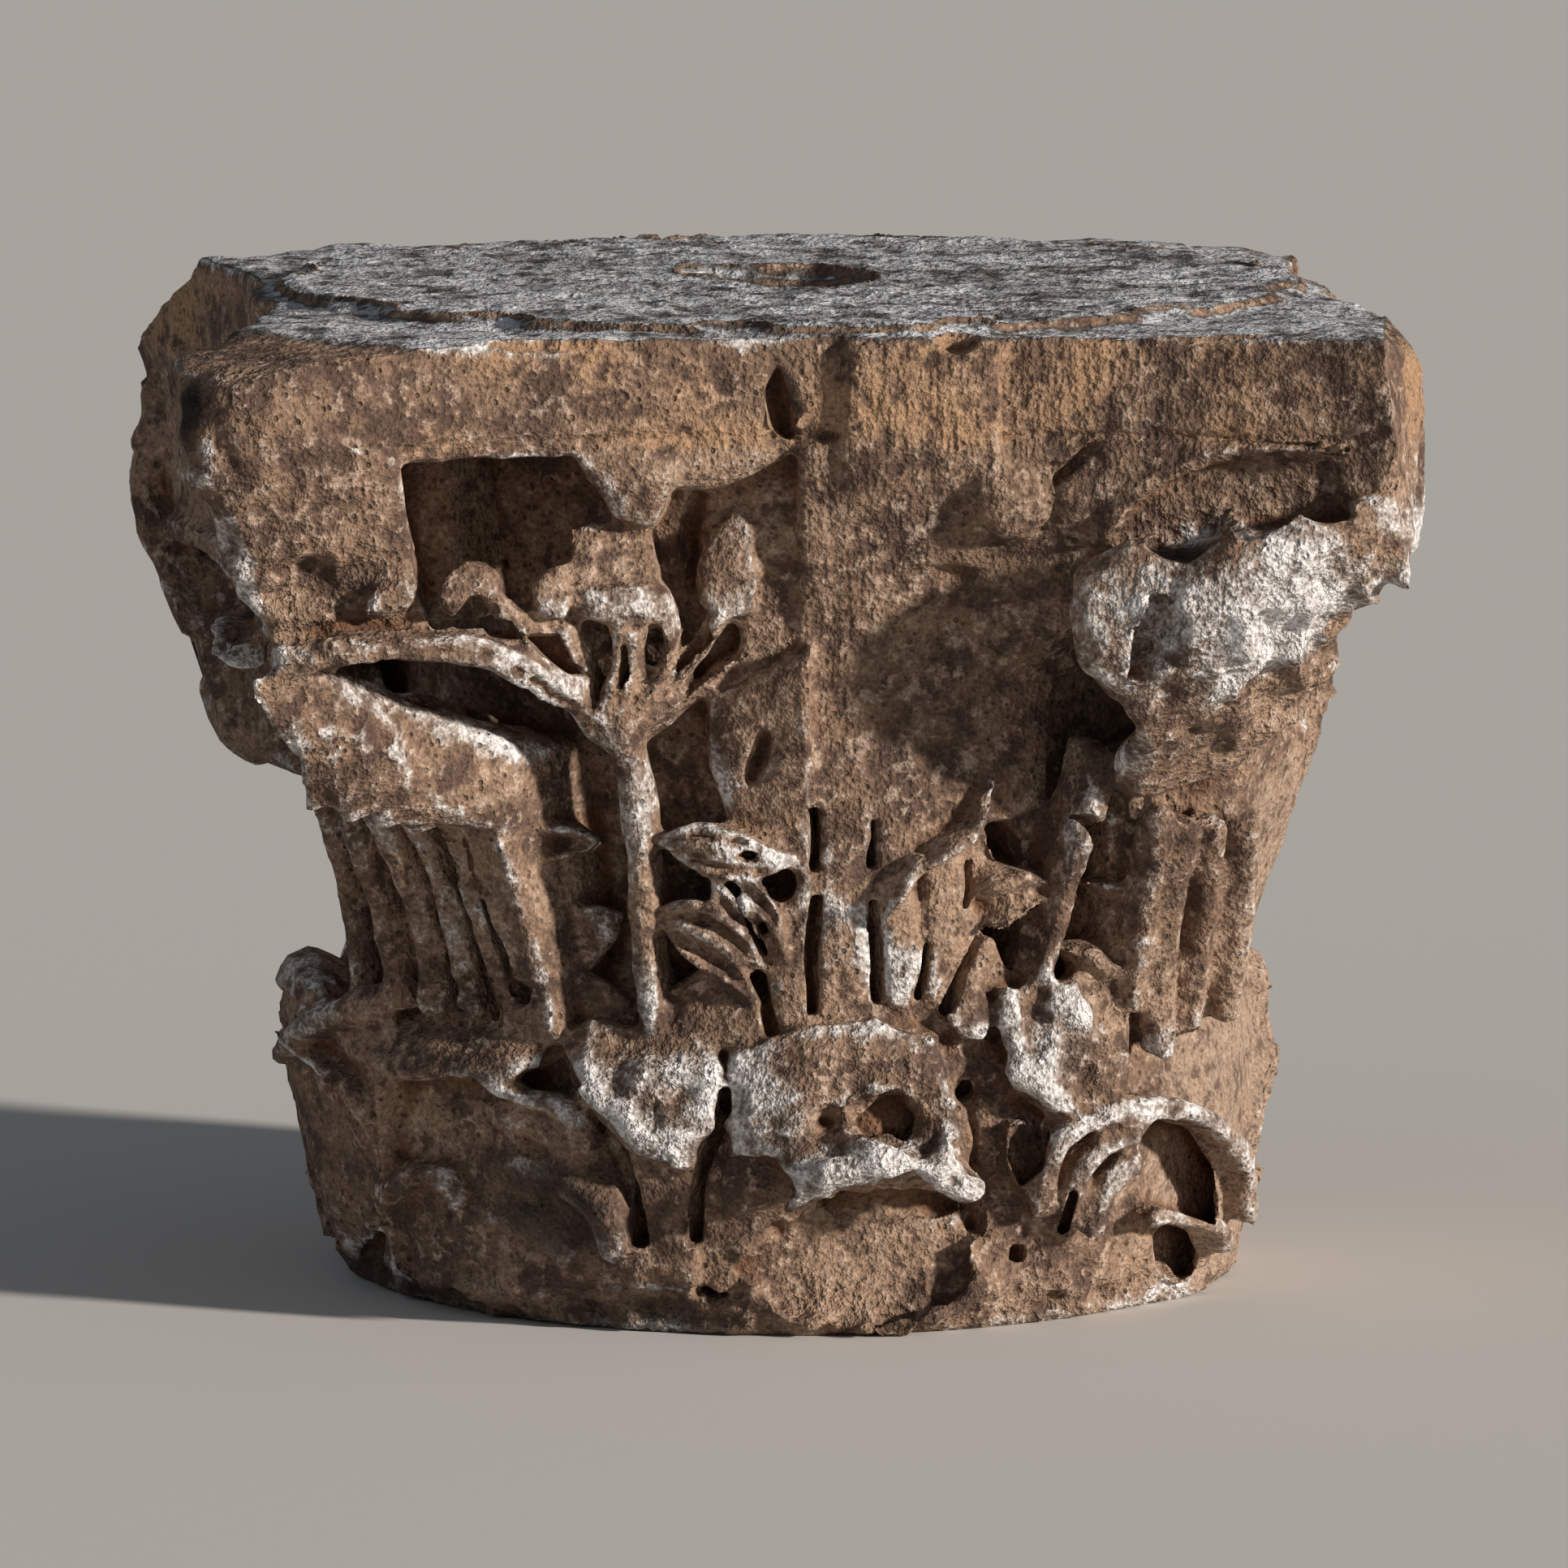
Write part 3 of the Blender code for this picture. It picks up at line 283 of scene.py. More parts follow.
def limb(stations, section="round", steps=4):
    """A stem, rib or leaf: one section carried along a smooth line of (point, half width, half depth)."""
    rows = through(stations, steps)
    outline = SECTIONS[section]
    work = bmesh.new()
    rings = []
    for index, (centre, half_width, half_depth) in enumerate(rows):
        along = (rows[min(index + 1, len(rows) - 1)][0] - rows[max(index - 1, 0)][0]).normalized()
        away = Vector((centre.x, centre.y, 0)).normalized()
        away = away - along * away.dot(along)
        if away.length < 0.2:
            away = Vector((0, 0, 1)) - along * along.z
        away.normalize()
        across = along.cross(away)
        verts = [
            work.verts.new(centre + across * (u * half_width) + away * (v * half_depth)) for u, v in outline
        ]
        rings.append([work.edges.new(pair) for pair in zip(verts, verts[1:] + verts[:1])])
    for first, second in zip(rings, rings[1:]):
        bmesh.ops.bridge_loops(work, edges=first + second)
    for end in (rings[0], rings[-1]):
        bmesh.ops.contextual_create(work, geom=end)
    return finish(work)


def ends(pair, share):
    """The size at that share of the way; a pair is the sizes at the start and the end."""
    return pair if isinstance(pair, (int, float)) else pair[0] + (pair[1] - pair[0]) * share


def rib(points, wide, deep, section="round", steps=4):
    """A limb through points; wide and deep are one half size, or a pair from start to end."""
    last = len(points) - 1
    return limb([
        (point, ends(wide, index / last), ends(deep, index / last)) for index, point in enumerate(points)
    ], section, steps)


def stroke(place, rows, wide, deep, section="round", steps=4):
    """A rib through traced rows."""
    return rib(traced(place, rows), wide, deep, section, steps)


def blade(place, rows, half_width, deep, section="leaf", steps=3):
    """A pointed leaf through traced rows, broadest before its middle."""
    last = len(rows) - 1
    stations = []
    for index, point in enumerate(traced(place, rows)):
        belly = max(1.0 - abs(1.9 * (index / last) - 0.8) ** 2.0, 0.10)
        stations.append((point, half_width * belly, deep * (0.45 + 0.55 * belly)))
    return limb(stations, section, steps)


def lump(centre, half_sizes, azimuth, lean=0.0, detail=3):
    """A rounded mass: half_sizes across, outwards and upwards, leaning by so many degrees to the right."""
    work = bmesh.new()
    turn = Matrix.Rotation(math.radians(azimuth), 4, "Z") @ Matrix.Rotation(math.radians(lean), 4, "Y")
    place = Matrix.Translation(centre) @ turn @ Matrix.Diagonal((*half_sizes, 1.0))
    bmesh.ops.create_icosphere(work, subdivisions=detail, radius=1.0, matrix=place)
    return finish(work)


def hull(points):
    """The convex mass round a set of points: a block as the point chisel leaves it."""
    work = bmesh.new()
    for point in points:
        work.verts.new(point)
    bmesh.ops.convex_hull(work, input=work.verts)
    bmesh.ops.delete(work, geom=[vert for vert in work.verts if not vert.link_faces], context="VERTS")
    return finish(work)


def mass(place, rows, roots=()):
    """The convex mass round traced rows, and round roots that lie on the face itself."""
    return hull(traced(place, rows) + [place(x, y) for x, y in roots])


def chunk(place, rows, depth):
    """A block with that traced outline, going in by that depth from its face."""
    return hull(traced(place, rows) + [place(x, y, proud / 1000 - depth) for x, y, proud in rows])


def sector(start, end, rows, steps=12):
    """A shell of uncut stone on the bell between two azimuths; rows are (level, proud in metres)."""
    work = bmesh.new()
    inner = BELL_FOOT_RADIUS / 2
    profile = [Vector((0, -inner, rows[0][0] * HEIGHT))]
    profile += [Vector((0, -bell_radius(level) - proud, level * HEIGHT)) for level, proud in rows]
    profile.append(Vector((0, -inner, rows[-1][0] * HEIGHT)))
    face = work.faces.new([work.verts.new(point) for point in profile])
    bmesh.ops.rotate(work, verts=work.verts, matrix=Matrix.Rotation(math.radians(start), 3, "Z"))
    bmesh.ops.spin(
        work, geom=[face], cent=(0, 0, 0), axis=(0, 0, 1), angle=math.radians(end - start), steps=steps,
    )
    return finish(work)


def turned(profile, segments=128):
    """A solid of revolution; the profile is (radius, height) from the top of the axis to its foot."""
    work = bmesh.new()
    points = [work.verts.new((radius, 0, height)) for radius, height in profile]
    edges = [work.edges.new(pair) for pair in zip(points, points[1:])]
    bmesh.ops.spin(
        work, geom=points + edges, cent=(0, 0, 0), axis=(0, 0, 1), angle=2 * math.pi, steps=segments,
        use_merge=True,
    )
    bmesh.ops.remove_doubles(work, verts=work.verts, dist=1e-5)
    return finish(work)


def slice_off(point, normal, size=0.5):
    """A big block that takes away everything beyond the plane through that point."""
    away = Vector(normal).normalized()
    turn = away.to_track_quat("Z", "Y").to_matrix().to_4x4()
    work = bmesh.new()
    place = Matrix.Translation(Vector(point) + away * size / 2) @ turn @ Matrix.Scale(size, 4)
    bmesh.ops.create_cube(work, size=1.0, matrix=place)
    return finish(work)


def repeated(shapes, turn, mirror_at=None, girth=1.0):
    """Copies of shapes, mirrored at an azimuth if one is given, then drawn in by girth and turned."""
    move = Matrix.Rotation(math.radians(turn), 4, "Z") @ Matrix.Diagonal((girth, girth, 1, 1))
    if mirror_at is not None:
        spin = Matrix.Rotation(math.radians(mirror_at), 4, "Z")
        move = move @ spin @ Matrix.Diagonal((-1, 1, 1, 1)) @ spin.inverted()
    copies = []
    for shape in shapes:
        work = bmesh.new()
        work.from_mesh(shape)
        bmesh.ops.transform(work, matrix=move, verts=work.verts)
        copies.append(finish(work))
    return copies


# The block as roughed out


def bell():
    """The plain bell under the leaves, from the bed up into the abacus."""
    rows = 16
    profile = [(0.0, ABACUS_TOP - BED_RISE), (BELL_LIP_RADIUS, ABACUS_TOP - BED_RISE)]
    profile += [
        (bell_radius(UNDERSIDE_LEVEL * step / rows), ABACUS_UNDERSIDE * step / rows)
        for step in range(rows, -1, -1)
    ]
    profile.append((0.0, 0.0))
    return turned(profile)


def skirt():
    """The worn skin that the lower leaves share."""
    rows = (
        (0.372, -0.002), (0.345, 0.010), (0.310, 0.024), (0.265, 0.034), (0.200, 0.037),
        (0.130, 0.035), (0.055, 0.031), (0.0, 0.026),
    )
    profile = [(0.0, rows[0][0] * HEIGHT)]
    profile += [(bell_radius(level) + proud, level * HEIGHT) for level, proud in rows]
    profile.append((0.0, 0.0))
    return turned(profile)


def abacus_outline(inset):
    """The plan of the abacus: four hollow sides, each an arc, joined by straight corner cuts."""
    half = ABACUS_HALF_SIDE - inset
    end = half - CORNER_CUT / math.sqrt(2)
    sag = half - (ABACUS_WAIST - inset)
    radius = (end**2 + sag**2) / (2 * sag)
    sweep = math.asin(end / radius)
    steps = 24
    points = []
    for side in SIDES:
        turn = Matrix.Rotation(math.radians(side), 4, "Z")
        for step in range(steps + 1):
            angle = sweep * (2 * step / steps - 1)
            hollow = radius * (math.cos(angle) - math.cos(sweep))
            points.append(turn @ Vector((radius * math.sin(angle), -half + hollow, 0)))
    return points


def abacus():
    """The slab, with a slightly sunk lower edge all round."""
    work = bmesh.new()
    rings = []
    for inset, height in (
        (ABACUS_LIP_INSET, ABACUS_UNDERSIDE),
        (ABACUS_LIP_INSET, ABACUS_TOP - ABACUS_FILLET - 0.001),
        (0.0, ABACUS_TOP - ABACUS_FILLET + 0.001),
        (0.001, ABACUS_TOP),
    ):
        ring = [work.verts.new(point + Vector((0, 0, height))) for point in abacus_outline(inset)]
        rings.append(ring)
    loops = [[work.edges.new(pair) for pair in zip(ring, ring[1:] + ring[:1])] for ring in rings]
    for first, second in zip(loops, loops[1:]):
        bmesh.ops.bridge_loops(work, edges=first + second)
    bmesh.ops.contextual_create(work, geom=loops[0])
    bmesh.ops.contextual_create(work, geom=loops[-1])
    return finish(work)


def bearing_bed():
    """The raised round bed on top, let into the abacus."""
    return turned([
        (0.0, HEIGHT), (BED_RADIUS * 0.985, HEIGHT), (BED_RADIUS, HEIGHT - 0.003),
        (BED_RADIUS * 1.01, ABACUS_TOP - 2 * BED_RISE), (0.0, ABACUS_TOP - 2 * BED_RISE),
    ])


def abacus_boss(side, offset):
    """The uncarved boss for the flower in the middle of a side, running down onto the bell."""
    points = []
    for hand in (-1, 1):
        across = offset + hand * BOSS_HALF_WIDTH
        points += [
            edge_spot(side, across, (ABACUS_TOP - 0.001) / HEIGHT, -0.010),
            edge_spot(side, across, UNDERSIDE_LEVEL, -0.008),
            edge_spot(side, across * 0.95, 0.760, 0.018),
            edge_spot(side, across, (ABACUS_TOP - 0.001) / HEIGHT, 0.060),
            edge_spot(side, across, 0.760, 0.070),
        ]
    return hull(points)


def volute_block(corner, half_width, foot_level, lean_in, inset, sag, corner_cut=CORNER_CUT):
    """The worn mass of the two volutes that meet under a corner, flush with the abacus above."""
    work = bmesh.new()
    half = ABACUS_HALF_SIDE - ABACUS_LIP_INSET - inset
    cut = corner_cut / math.sqrt(2)
    plan = [
        (half - cut, half), (half - 2 * half_width, half - sag), (half - 2 * half_width - 0.006, 0.225),
        (0.10, 0.10), (0.225, half - 2 * half_width - 0.006), (half - sag, half - 2 * half_width),
        (half, half - cut),
    ]
    turn = Matrix.Rotation(math.radians(corner - 45.0), 4, "Z")
    face = work.faces.new([
        work.verts.new(turn @ Vector((x, -y, ABACUS_UNDERSIDE + VOLUTE_BITE))) for x, y in plan
    ])
    grown = bmesh.ops.extrude_face_region(work, geom=[face])["geom"]
    low = [item for item in grown if isinstance(item, bmesh.types.BMVert)]
    fall = Vector((0, 0, foot_level * HEIGHT - ABACUS_UNDERSIDE - VOLUTE_BITE))
    bmesh.ops.translate(work, verts=low, vec=fall)
    bmesh.ops.scale(work, verts=low, vec=(1 - lean_in, 1 - lean_in, 1))
    return finish(work)


# The finished half of a side, as the left half of the front shows it


VOLUTE_STEM = (
    (766, 903, -50), (736, 876, -45), (705, 848, -36), (662, 822, -20), (608, 802, -6),
    (547, 799, -2), (486, 800, -2), (420, 803, -4), (372, 808, -10), (332, 816, -20),
)
FAN_RIBS = (
    ((766, 905, -48), (736, 862, -40), (700, 815, -26), (655, 778, -12), (610, 752, -4)),
    ((766, 905, -48), (730, 850, -38), (704, 806, -26), (694, 768, -14)),
    ((766, 905, -48), (756, 860, -36), (764, 815, -24), (764, 765, -12)),
    ((768, 905, -48), (779, 860, -36), (787, 815, -24), (783, 768, -12)),
    ((770, 905, -48), (797, 868, -40), (820, 826, -30), (828, 785, -20), (812, 748, -12)),
    ((774, 908, -48), (815, 856, -40), (858, 800, -33), (892, 750, -28)),
    ((780, 912, -50), (835, 872, -48), (905, 815, -44), (988, 778, -42)),
)
FAN_TIPS = (
    (((438, 742, -4), (470, 706, -6), (505, 698, -6), (517, 716, -4), (512, 744, 0),
      (480, 762, 2), (446, 765, 0)), 0.030),
    (((540, 722, 0), (562, 696, -2), (580, 700, 0), (575, 740, 4), (558, 762, 4),
      (540, 750, 2)), 0.024),
    (((572, 690, -2), (598, 690, -2), (618, 706, 2), (616, 738, 6), (600, 748, 4),
      (580, 728, 4)), 0.024),
    (((652, 722, -2), (670, 702, -4), (694, 694, -6), (702, 735, 0), (698, 762, 2),
      (670, 762, 0), (656, 748, 0)), 0.022),
    (((700, 648, -22), (738, 636, -26), (800, 652, -24), (812, 705, -12), (816, 742, -8),
      (795, 764, -6), (738, 762, -6), (706, 736, -8), (708, 690, -14)), 0.030),
    (((862, 745, -22), (858, 700, -28), (880, 650, -32), (908, 624, -30), (926, 650, -24),
      (934, 720, -18), (926, 758, -18), (895, 766, -18)), 0.030),
)
STALK_HEAD = ((772, 912, 34), (777, 935, 34), (782, 965, 33), (788, 1000, 32), (791, 1028, 32))
STALK = ((792, 1030, 30), (795, 1070, 28), (798, 1120, 27), (802, 1180, 27), (806, 1230, 28),
         (808, 1272, 30))


def fan():
    """The stem of the volute and the ribs that open from the head of the stalk."""
    parts = [stroke(on_edge, VOLUTE_STEM, (0.0085, 0.0090), (0.016, 0.016), "twin")]
    for row, wide in zip(FAN_RIBS, (0.0070, 0.0060, 0.0058, 0.0058, 0.0062, 0.0070, 0.0055)):
        parts.append(stroke(on_edge, row, (wide * 0.8, wide), (0.016, 0.013), "arris"))
    parts += [chunk(on_edge, outline, depth) for outline, depth in FAN_TIPS]
    parts.append(lump(on_edge(768, 903, -0.050), (0.014, 0.014, 0.012), -22.0))
    parts.append(chunk(on_edge, (
        (712, 722, -4), (740, 728, 2), (790, 732, 2), (826, 722, -4), (830, 748, -4),
        (812, 766, -2), (770, 758, 2), (735, 766, 0), (714, 758, -2),
    ), 0.024))
    return parts


def strut_and_lobe():
    """The strut under the abacus beside the niche, and the helix lobe by the boss."""
    return [
        chunk(on_edge, (
            (700, 556, 0), (790, 548, 0), (828, 572, 0), (830, 600, -2), (812, 640, -6),
            (800, 652, -10), (756, 640, -10), (742, 612, -6), (716, 580, -3),
        ), 0.060),
        chunk(on_edge, (
            (818, 600, -4), (822, 556, -2), (905, 536, -3), (980, 541, -4), (978, 560, -10),
            (930, 580, -12), (890, 600, -16),
        ), 0.040),
        chunk(on_edge, (
            (935, 590, -28), (985, 560, -20), (1002, 600, -20), (1002, 800, -36), (950, 800, -40),
            (930, 760, -36), (936, 660, -30),
        ), 0.050),
    ]


def stalk_and_leaflets():
    """The stalk with its knot, and the leaflets either side of it."""
    parts = [
        stroke(on_bell, STALK_HEAD, (0.0095, 0.0110), 0.014),
        lump(on_bell(790, 1028, 0.031), (0.0125, 0.012, 0.007), -22.0),
        stroke(on_bell, STALK, (0.0070, 0.0076), 0.018, "strap"),
    ]
    for points, half_width in (
        (((628, 1040, 24), (662, 1036, 28), (705, 1036, 30), (742, 1036, 24)), 0.0125),
        (((815, 1036, 26), (862, 1028, 30), (920, 1036, 31), (984, 1056, 30)), 0.0062),
        (((840, 1048, 26), (880, 1062, 30), (930, 1070, 31), (984, 1066, 30)), 0.0062),
        (((824, 1126, 26), (862, 1126, 30), (904, 1150, 31), (940, 1196, 30)), 0.0090),
        (((828, 1134, 26), (858, 1162, 30), (900, 1192, 31), (938, 1240, 30)), 0.0090),
        (((884, 1084, 28), (898, 1114, 31), (924, 1142, 31), (940, 1192, 30)), 0.0060),
        (((912, 1078, 28), (934, 1102, 31), (955, 1132, 31), (966, 1180, 30)), 0.0064),
    ):
        parts.append(blade(on_bell, points, half_width, 0.018))
    for outline in (
        ((636, 1022, 26), (668, 1008, 30), (706, 1016, 28), (746, 1038, 18), (704, 1060, 24),
         (660, 1058, 24)),
        ((676, 1110, 22), (690, 1080, 24), (716, 1050, 20), (722, 1070, 22), (706, 1104, 26),
         (696, 1130, 26), (672, 1140, 26)),
        ((640, 1140, 24), (690, 1122, 27), (730, 1116, 27), (773, 1122, 20), (760, 1150, 24),
         (736, 1182, 26), (712, 1198, 26), (650, 1200, 28)),
        ((640, 1206, 28), (712, 1198, 28), (744, 1208, 29), (770, 1228, 28), (790, 1266, 26),
         (720, 1290, 34), (640, 1280, 34)),
        ((826, 1262, 34), (832, 1216, 28), (868, 1192, 30), (905, 1198, 32), (936, 1240, 34),
         (945, 1290, 40), (835, 1290, 40)),
    ):
        parts.append(chunk(on_bell, outline, 0.026))
    parts += [
        chunk(on_bell, (
            (955, 1080, 26), (998, 1060, 32), (1000, 1280, 34), (962, 1280, 34), (945, 1200, 30),
        ), 0.030),
        chunk(on_bell, (
            (870, 860, 20), (940, 830, 26), (1000, 790, 32), (1002, 1000, 28), (965, 1012, 26),
            (900, 1010, 20), (880, 940, 18),
        ), 0.030),
        chunk(on_bell, (
            (900, 1030, 24), (1000, 1010, 30), (1000, 1070, 30), (955, 1058, 26),
        ), 0.026),
    ]
    return parts


def half_cuts():
    """The eyes and slots drilled between the ribs and leaflets."""
    return [
        stroke(on_edge, ((738, 864, -36), (731, 830, -28), (737, 795, -22), (738, 768, -16)),
               (0.0030, 0.0045), 0.022),
        stroke(on_edge, ((768, 845, -30), (773, 815, -22), (773, 785, -16)), (0.0015, 0.0030), 0.014),
        stroke(on_bell, ((652, 1100, 30), (650, 1086, 30), (664, 1068, 30)), (0.0050, 0.0070), 0.022),
        lump(on_bell(962, 1090, 0.026), (0.0085, 0.024, 0.0100), -12.0),
        lump(on_bell(838, 985, 0.014), (0.0120, 0.020, 0.0200), -20.0, lean=-10.0),
        lump(on_bell(930, 940, 0.030), (0.0080, 0.020, 0.0200), -14.0, lean=20.0),
        stroke(on_edge, ((852, 622, -22), (842, 660, -30), (843, 700, -36), (838, 736, -30)),
               (0.0100, 0.0060), 0.028),
        chunk(on_edge, ((646, 782, 10), (690, 778, 10), (716, 830, 0), (700, 836, -6),
                        (664, 806, 4)), 0.036),
        chunk(on_edge, ((586, 764, 14), (632, 764, 10), (640, 790, 6), (600, 784, 10)), 0.030),
        chunk(on_edge, ((796, 776, 4), (818, 772, 4), (812, 806, 0), (798, 828, -6)), 0.034),
        chunk(on_edge, ((842, 778, -4), (868, 762, -4), (880, 790, -10), (836, 836, -16)), 0.030),
        stroke(on_bell, ((905, 1096, 34), (925, 1140, 34), (944, 1180, 34)), (0.0015, 0.0020), 0.020),
    ]


# A corner: its volute block, tall leaf and lobes


def corner_leaf():
    """A whole corner leaf, with its ribs falling from the lip."""
    lip = traced(on_edge, (
        (300, 830, -12), (345, 816, -16), (410, 822, -20), (455, 866, -24), (527, 930, -50),
        (545, 944, -58), (520, 972, -66), (450, 968, -50), (378, 956, -38), (312, 880, -20),
    ))
    lip += [corner_spot(FRONT_LEFT, 0.0, level, reach) for level, reach in (
        (0.640, 0.56), (0.560, 0.52), (0.505, 0.34), (0.520, 0.0), (0.600, 0.0),
    )]
    lip += traced(on_bell, ((560, 990, 20), (560, 940, 6)))
    parts = [hull(lip)]
    parts.append(mass(on_bell, (
        (400, 1000, 56), (470, 985, 62), (560, 985, 50), (592, 1010, 36), (600, 1120, 32),
        (622, 1260, 30), (560, 1260, 36), (470, 1250, 44), (448, 1200, 46),
    ), ((480, 1000), (592, 1010), (622, 1260), (470, 1260))))
    for row, wide in (
        (((406, 968, 94), (432, 1050, 72), (450, 1150, 60), (458, 1225, 57)), 0.0085),
        (((436, 974, 96), (468, 1080, 75), (490, 1170, 62), (500, 1240, 59)), 0.0090),
        (((462, 974, 96), (502, 1060, 76), (530, 1140, 62), (541, 1245, 56)), 0.0095),
        (((506, 974, 82), (546, 1060, 62), (570, 1150, 54), (586, 1250, 50)), 0.0100),
        (((548, 975, 64), (580, 1060, 52), (606, 1150, 46), (628, 1262, 42)), 0.0085),
    ):
        parts.append(stroke(on_bell, row, (wide * 0.8, wide), (0.015, 0.013), "round"))
    for row, wide in (
        (((366, 880, -22), (376, 915, -34), (386, 950, -44), (396, 990, -60)), 0.0080),
        (((400, 890, -24), (412, 922, -36), (426, 960, -46), (440, 1000, -64)), 0.0085),
        (((440, 896, -28), (452, 930, -40), (466, 966, -52), (480, 1005, -70)), 0.0090),
        (((480, 912, -38), (492, 940, -48), (508, 975, -60), (524, 1010, -78)), 0.0090),
    ):
        parts.append(stroke(on_edge, row, (wide * 0.7, wide), (0.008, 0.014), "round"))
    parts.append(chunk(on_edge, (
        (516, 930, -72), (540, 876, -80), (560, 866, -80), (590, 930, -72),
    ), 0.040))
    return parts


def corner_lobes():
    """The lobe on one hand of a corner leaf, its drooping tip, and the flat strip below it."""
    return [
        mass(on_bell, (
            (556, 950, 34), (600, 936, 42), (664, 930, 36), (676, 962, 38), (662, 985, 40),
            (640, 985, 44), (600, 1000, 50), (566, 985, 46),
        ), ((560, 960), (664, 940), (664, 985), (600, 1010))),
        stroke(on_bell, ((655, 975, 40), (656, 996, 42), (652, 1016, 34)), (0.0080, 0.0030), 0.012),
        mass(on_bell, (
            (604, 1000, 36), (652, 1010, 32), (684, 1270, 34), (650, 1270, 40), (618, 1100, 36),
        ), ((604, 1000), (652, 1000), (684, 1270), (640, 1270))),
    ]


def corner_half_cuts():
    """The grooves between the ribs of a corner leaf, its eye, and the gap under the stem."""
    grooves = [
        stroke(on_bell, row, (0.0034, 0.0026), 0.014) for row in (
            ((420, 985, 96), (450, 1060, 78), (470, 1150, 67), (478, 1230, 64)),
            ((444, 985, 98), (480, 1070, 80), (507, 1160, 66), (517, 1240, 62)),
            ((485, 985, 90), (526, 1070, 70), (552, 1155, 60), (564, 1250, 56)),
            ((528, 985, 74), (566, 1070, 58), (590, 1150, 52), (608, 1256, 48)),
        )
    ]
    return grooves + [
        stroke(on_bell, ((588, 985, 52), (604, 1061, 48), (626, 1163, 48), (645, 1240, 48)),
               (0.0040, 0.0034), 0.018),
        lump(on_edge(500, 962, -0.034), (0.009, 0.008, 0.007), -40.0),
        stroke(on_edge, ((420, 840, 4), (480, 846, -4), (560, 856, -20), (640, 872, -34)),
               (0.0060, 0.0130), (0.030, 0.034)),
    ]


# One hand of the tip and of the body of a corner leaf, as (across, level, reach)
CORNER_TIP = (
    (0.060, 0.580, 0.22), (0.054, 0.500, 0.26), (0.034, 0.620, 0.40), (0.030, 0.515, 0.42),
    (0.022, 0.665, 0.70), (0.018, 0.590, 0.68), (0.014, 0.545, 0.56), (0.050, 0.500, -0.10),
    (0.050, 0.570, -0.10),
)
CORNER_BODY = (
    (0.060, 0.290, 0.16), (0.050, 0.420, 0.20), (0.045, 0.555, 0.30), (0.060, 0.290, -0.15),
    (0.060, 0.560, -0.15),
)


def corner_masses(corner):
    """The parts of a corner leaf that lie on its own middle line."""
    masses = []
    for rows in (CORNER_TIP, CORNER_BODY):
        masses.append(hull([
            corner_spot(corner, hand * across, level, reach)
            for hand in (-1, 1) for across, level, reach in rows
        ]))
    return masses


# The fallen corner leaf and the unfinished half on the right


# The masses behind the fallen leaf, as (azimuth, level, proud)
FALLEN_BODY = (
    (32.0, 0.550, 0.050), (45.0, 0.570, 0.092), (61.0, 0.570, 0.078), (34.5, 0.300, 0.040),
    (45.0, 0.270, 0.052), (60.0, 0.300, 0.041), (34.0, 0.280, -0.01), (60.0, 0.280, -0.01),
    (32.0, 0.550, -0.01), (62.0, 0.570, -0.01), (68.0, 0.620, 0.064), (66.0, 0.500, 0.060),
    (70.0, 0.440, 0.040),
)
FALLEN_SHOULDER = (
    (62.0, 0.690, 0.060), (78.0, 0.680, 0.050), (68.0, 0.620, 0.074), (72.0, 0.580, 0.064),
    (64.0, 0.560, 0.074), (84.0, 0.600, 0.048), (70.0, 0.500, 0.058), (82.0, 0.490, 0.042),
    (64.0, 0.470, 0.056), (62.0, 0.680, 0.0), (84.0, 0.660, 0.0), (62.0, 0.470, 0.0), (84.0, 0.480, 0.0),
)
FALLEN_STRIP = (
    (60.0, 0.500, 0.068), (74.0, 0.480, 0.048), (76.0, 0.400, 0.034), (74.0, 0.310, 0.030),
    (60.0, 0.310, 0.040), (60.0, 0.400, 0.043), (60.0, 0.500, 0.0), (76.0, 0.480, 0.0),
    (76.0, 0.310, 0.0), (60.0, 0.310, 0.0),
)


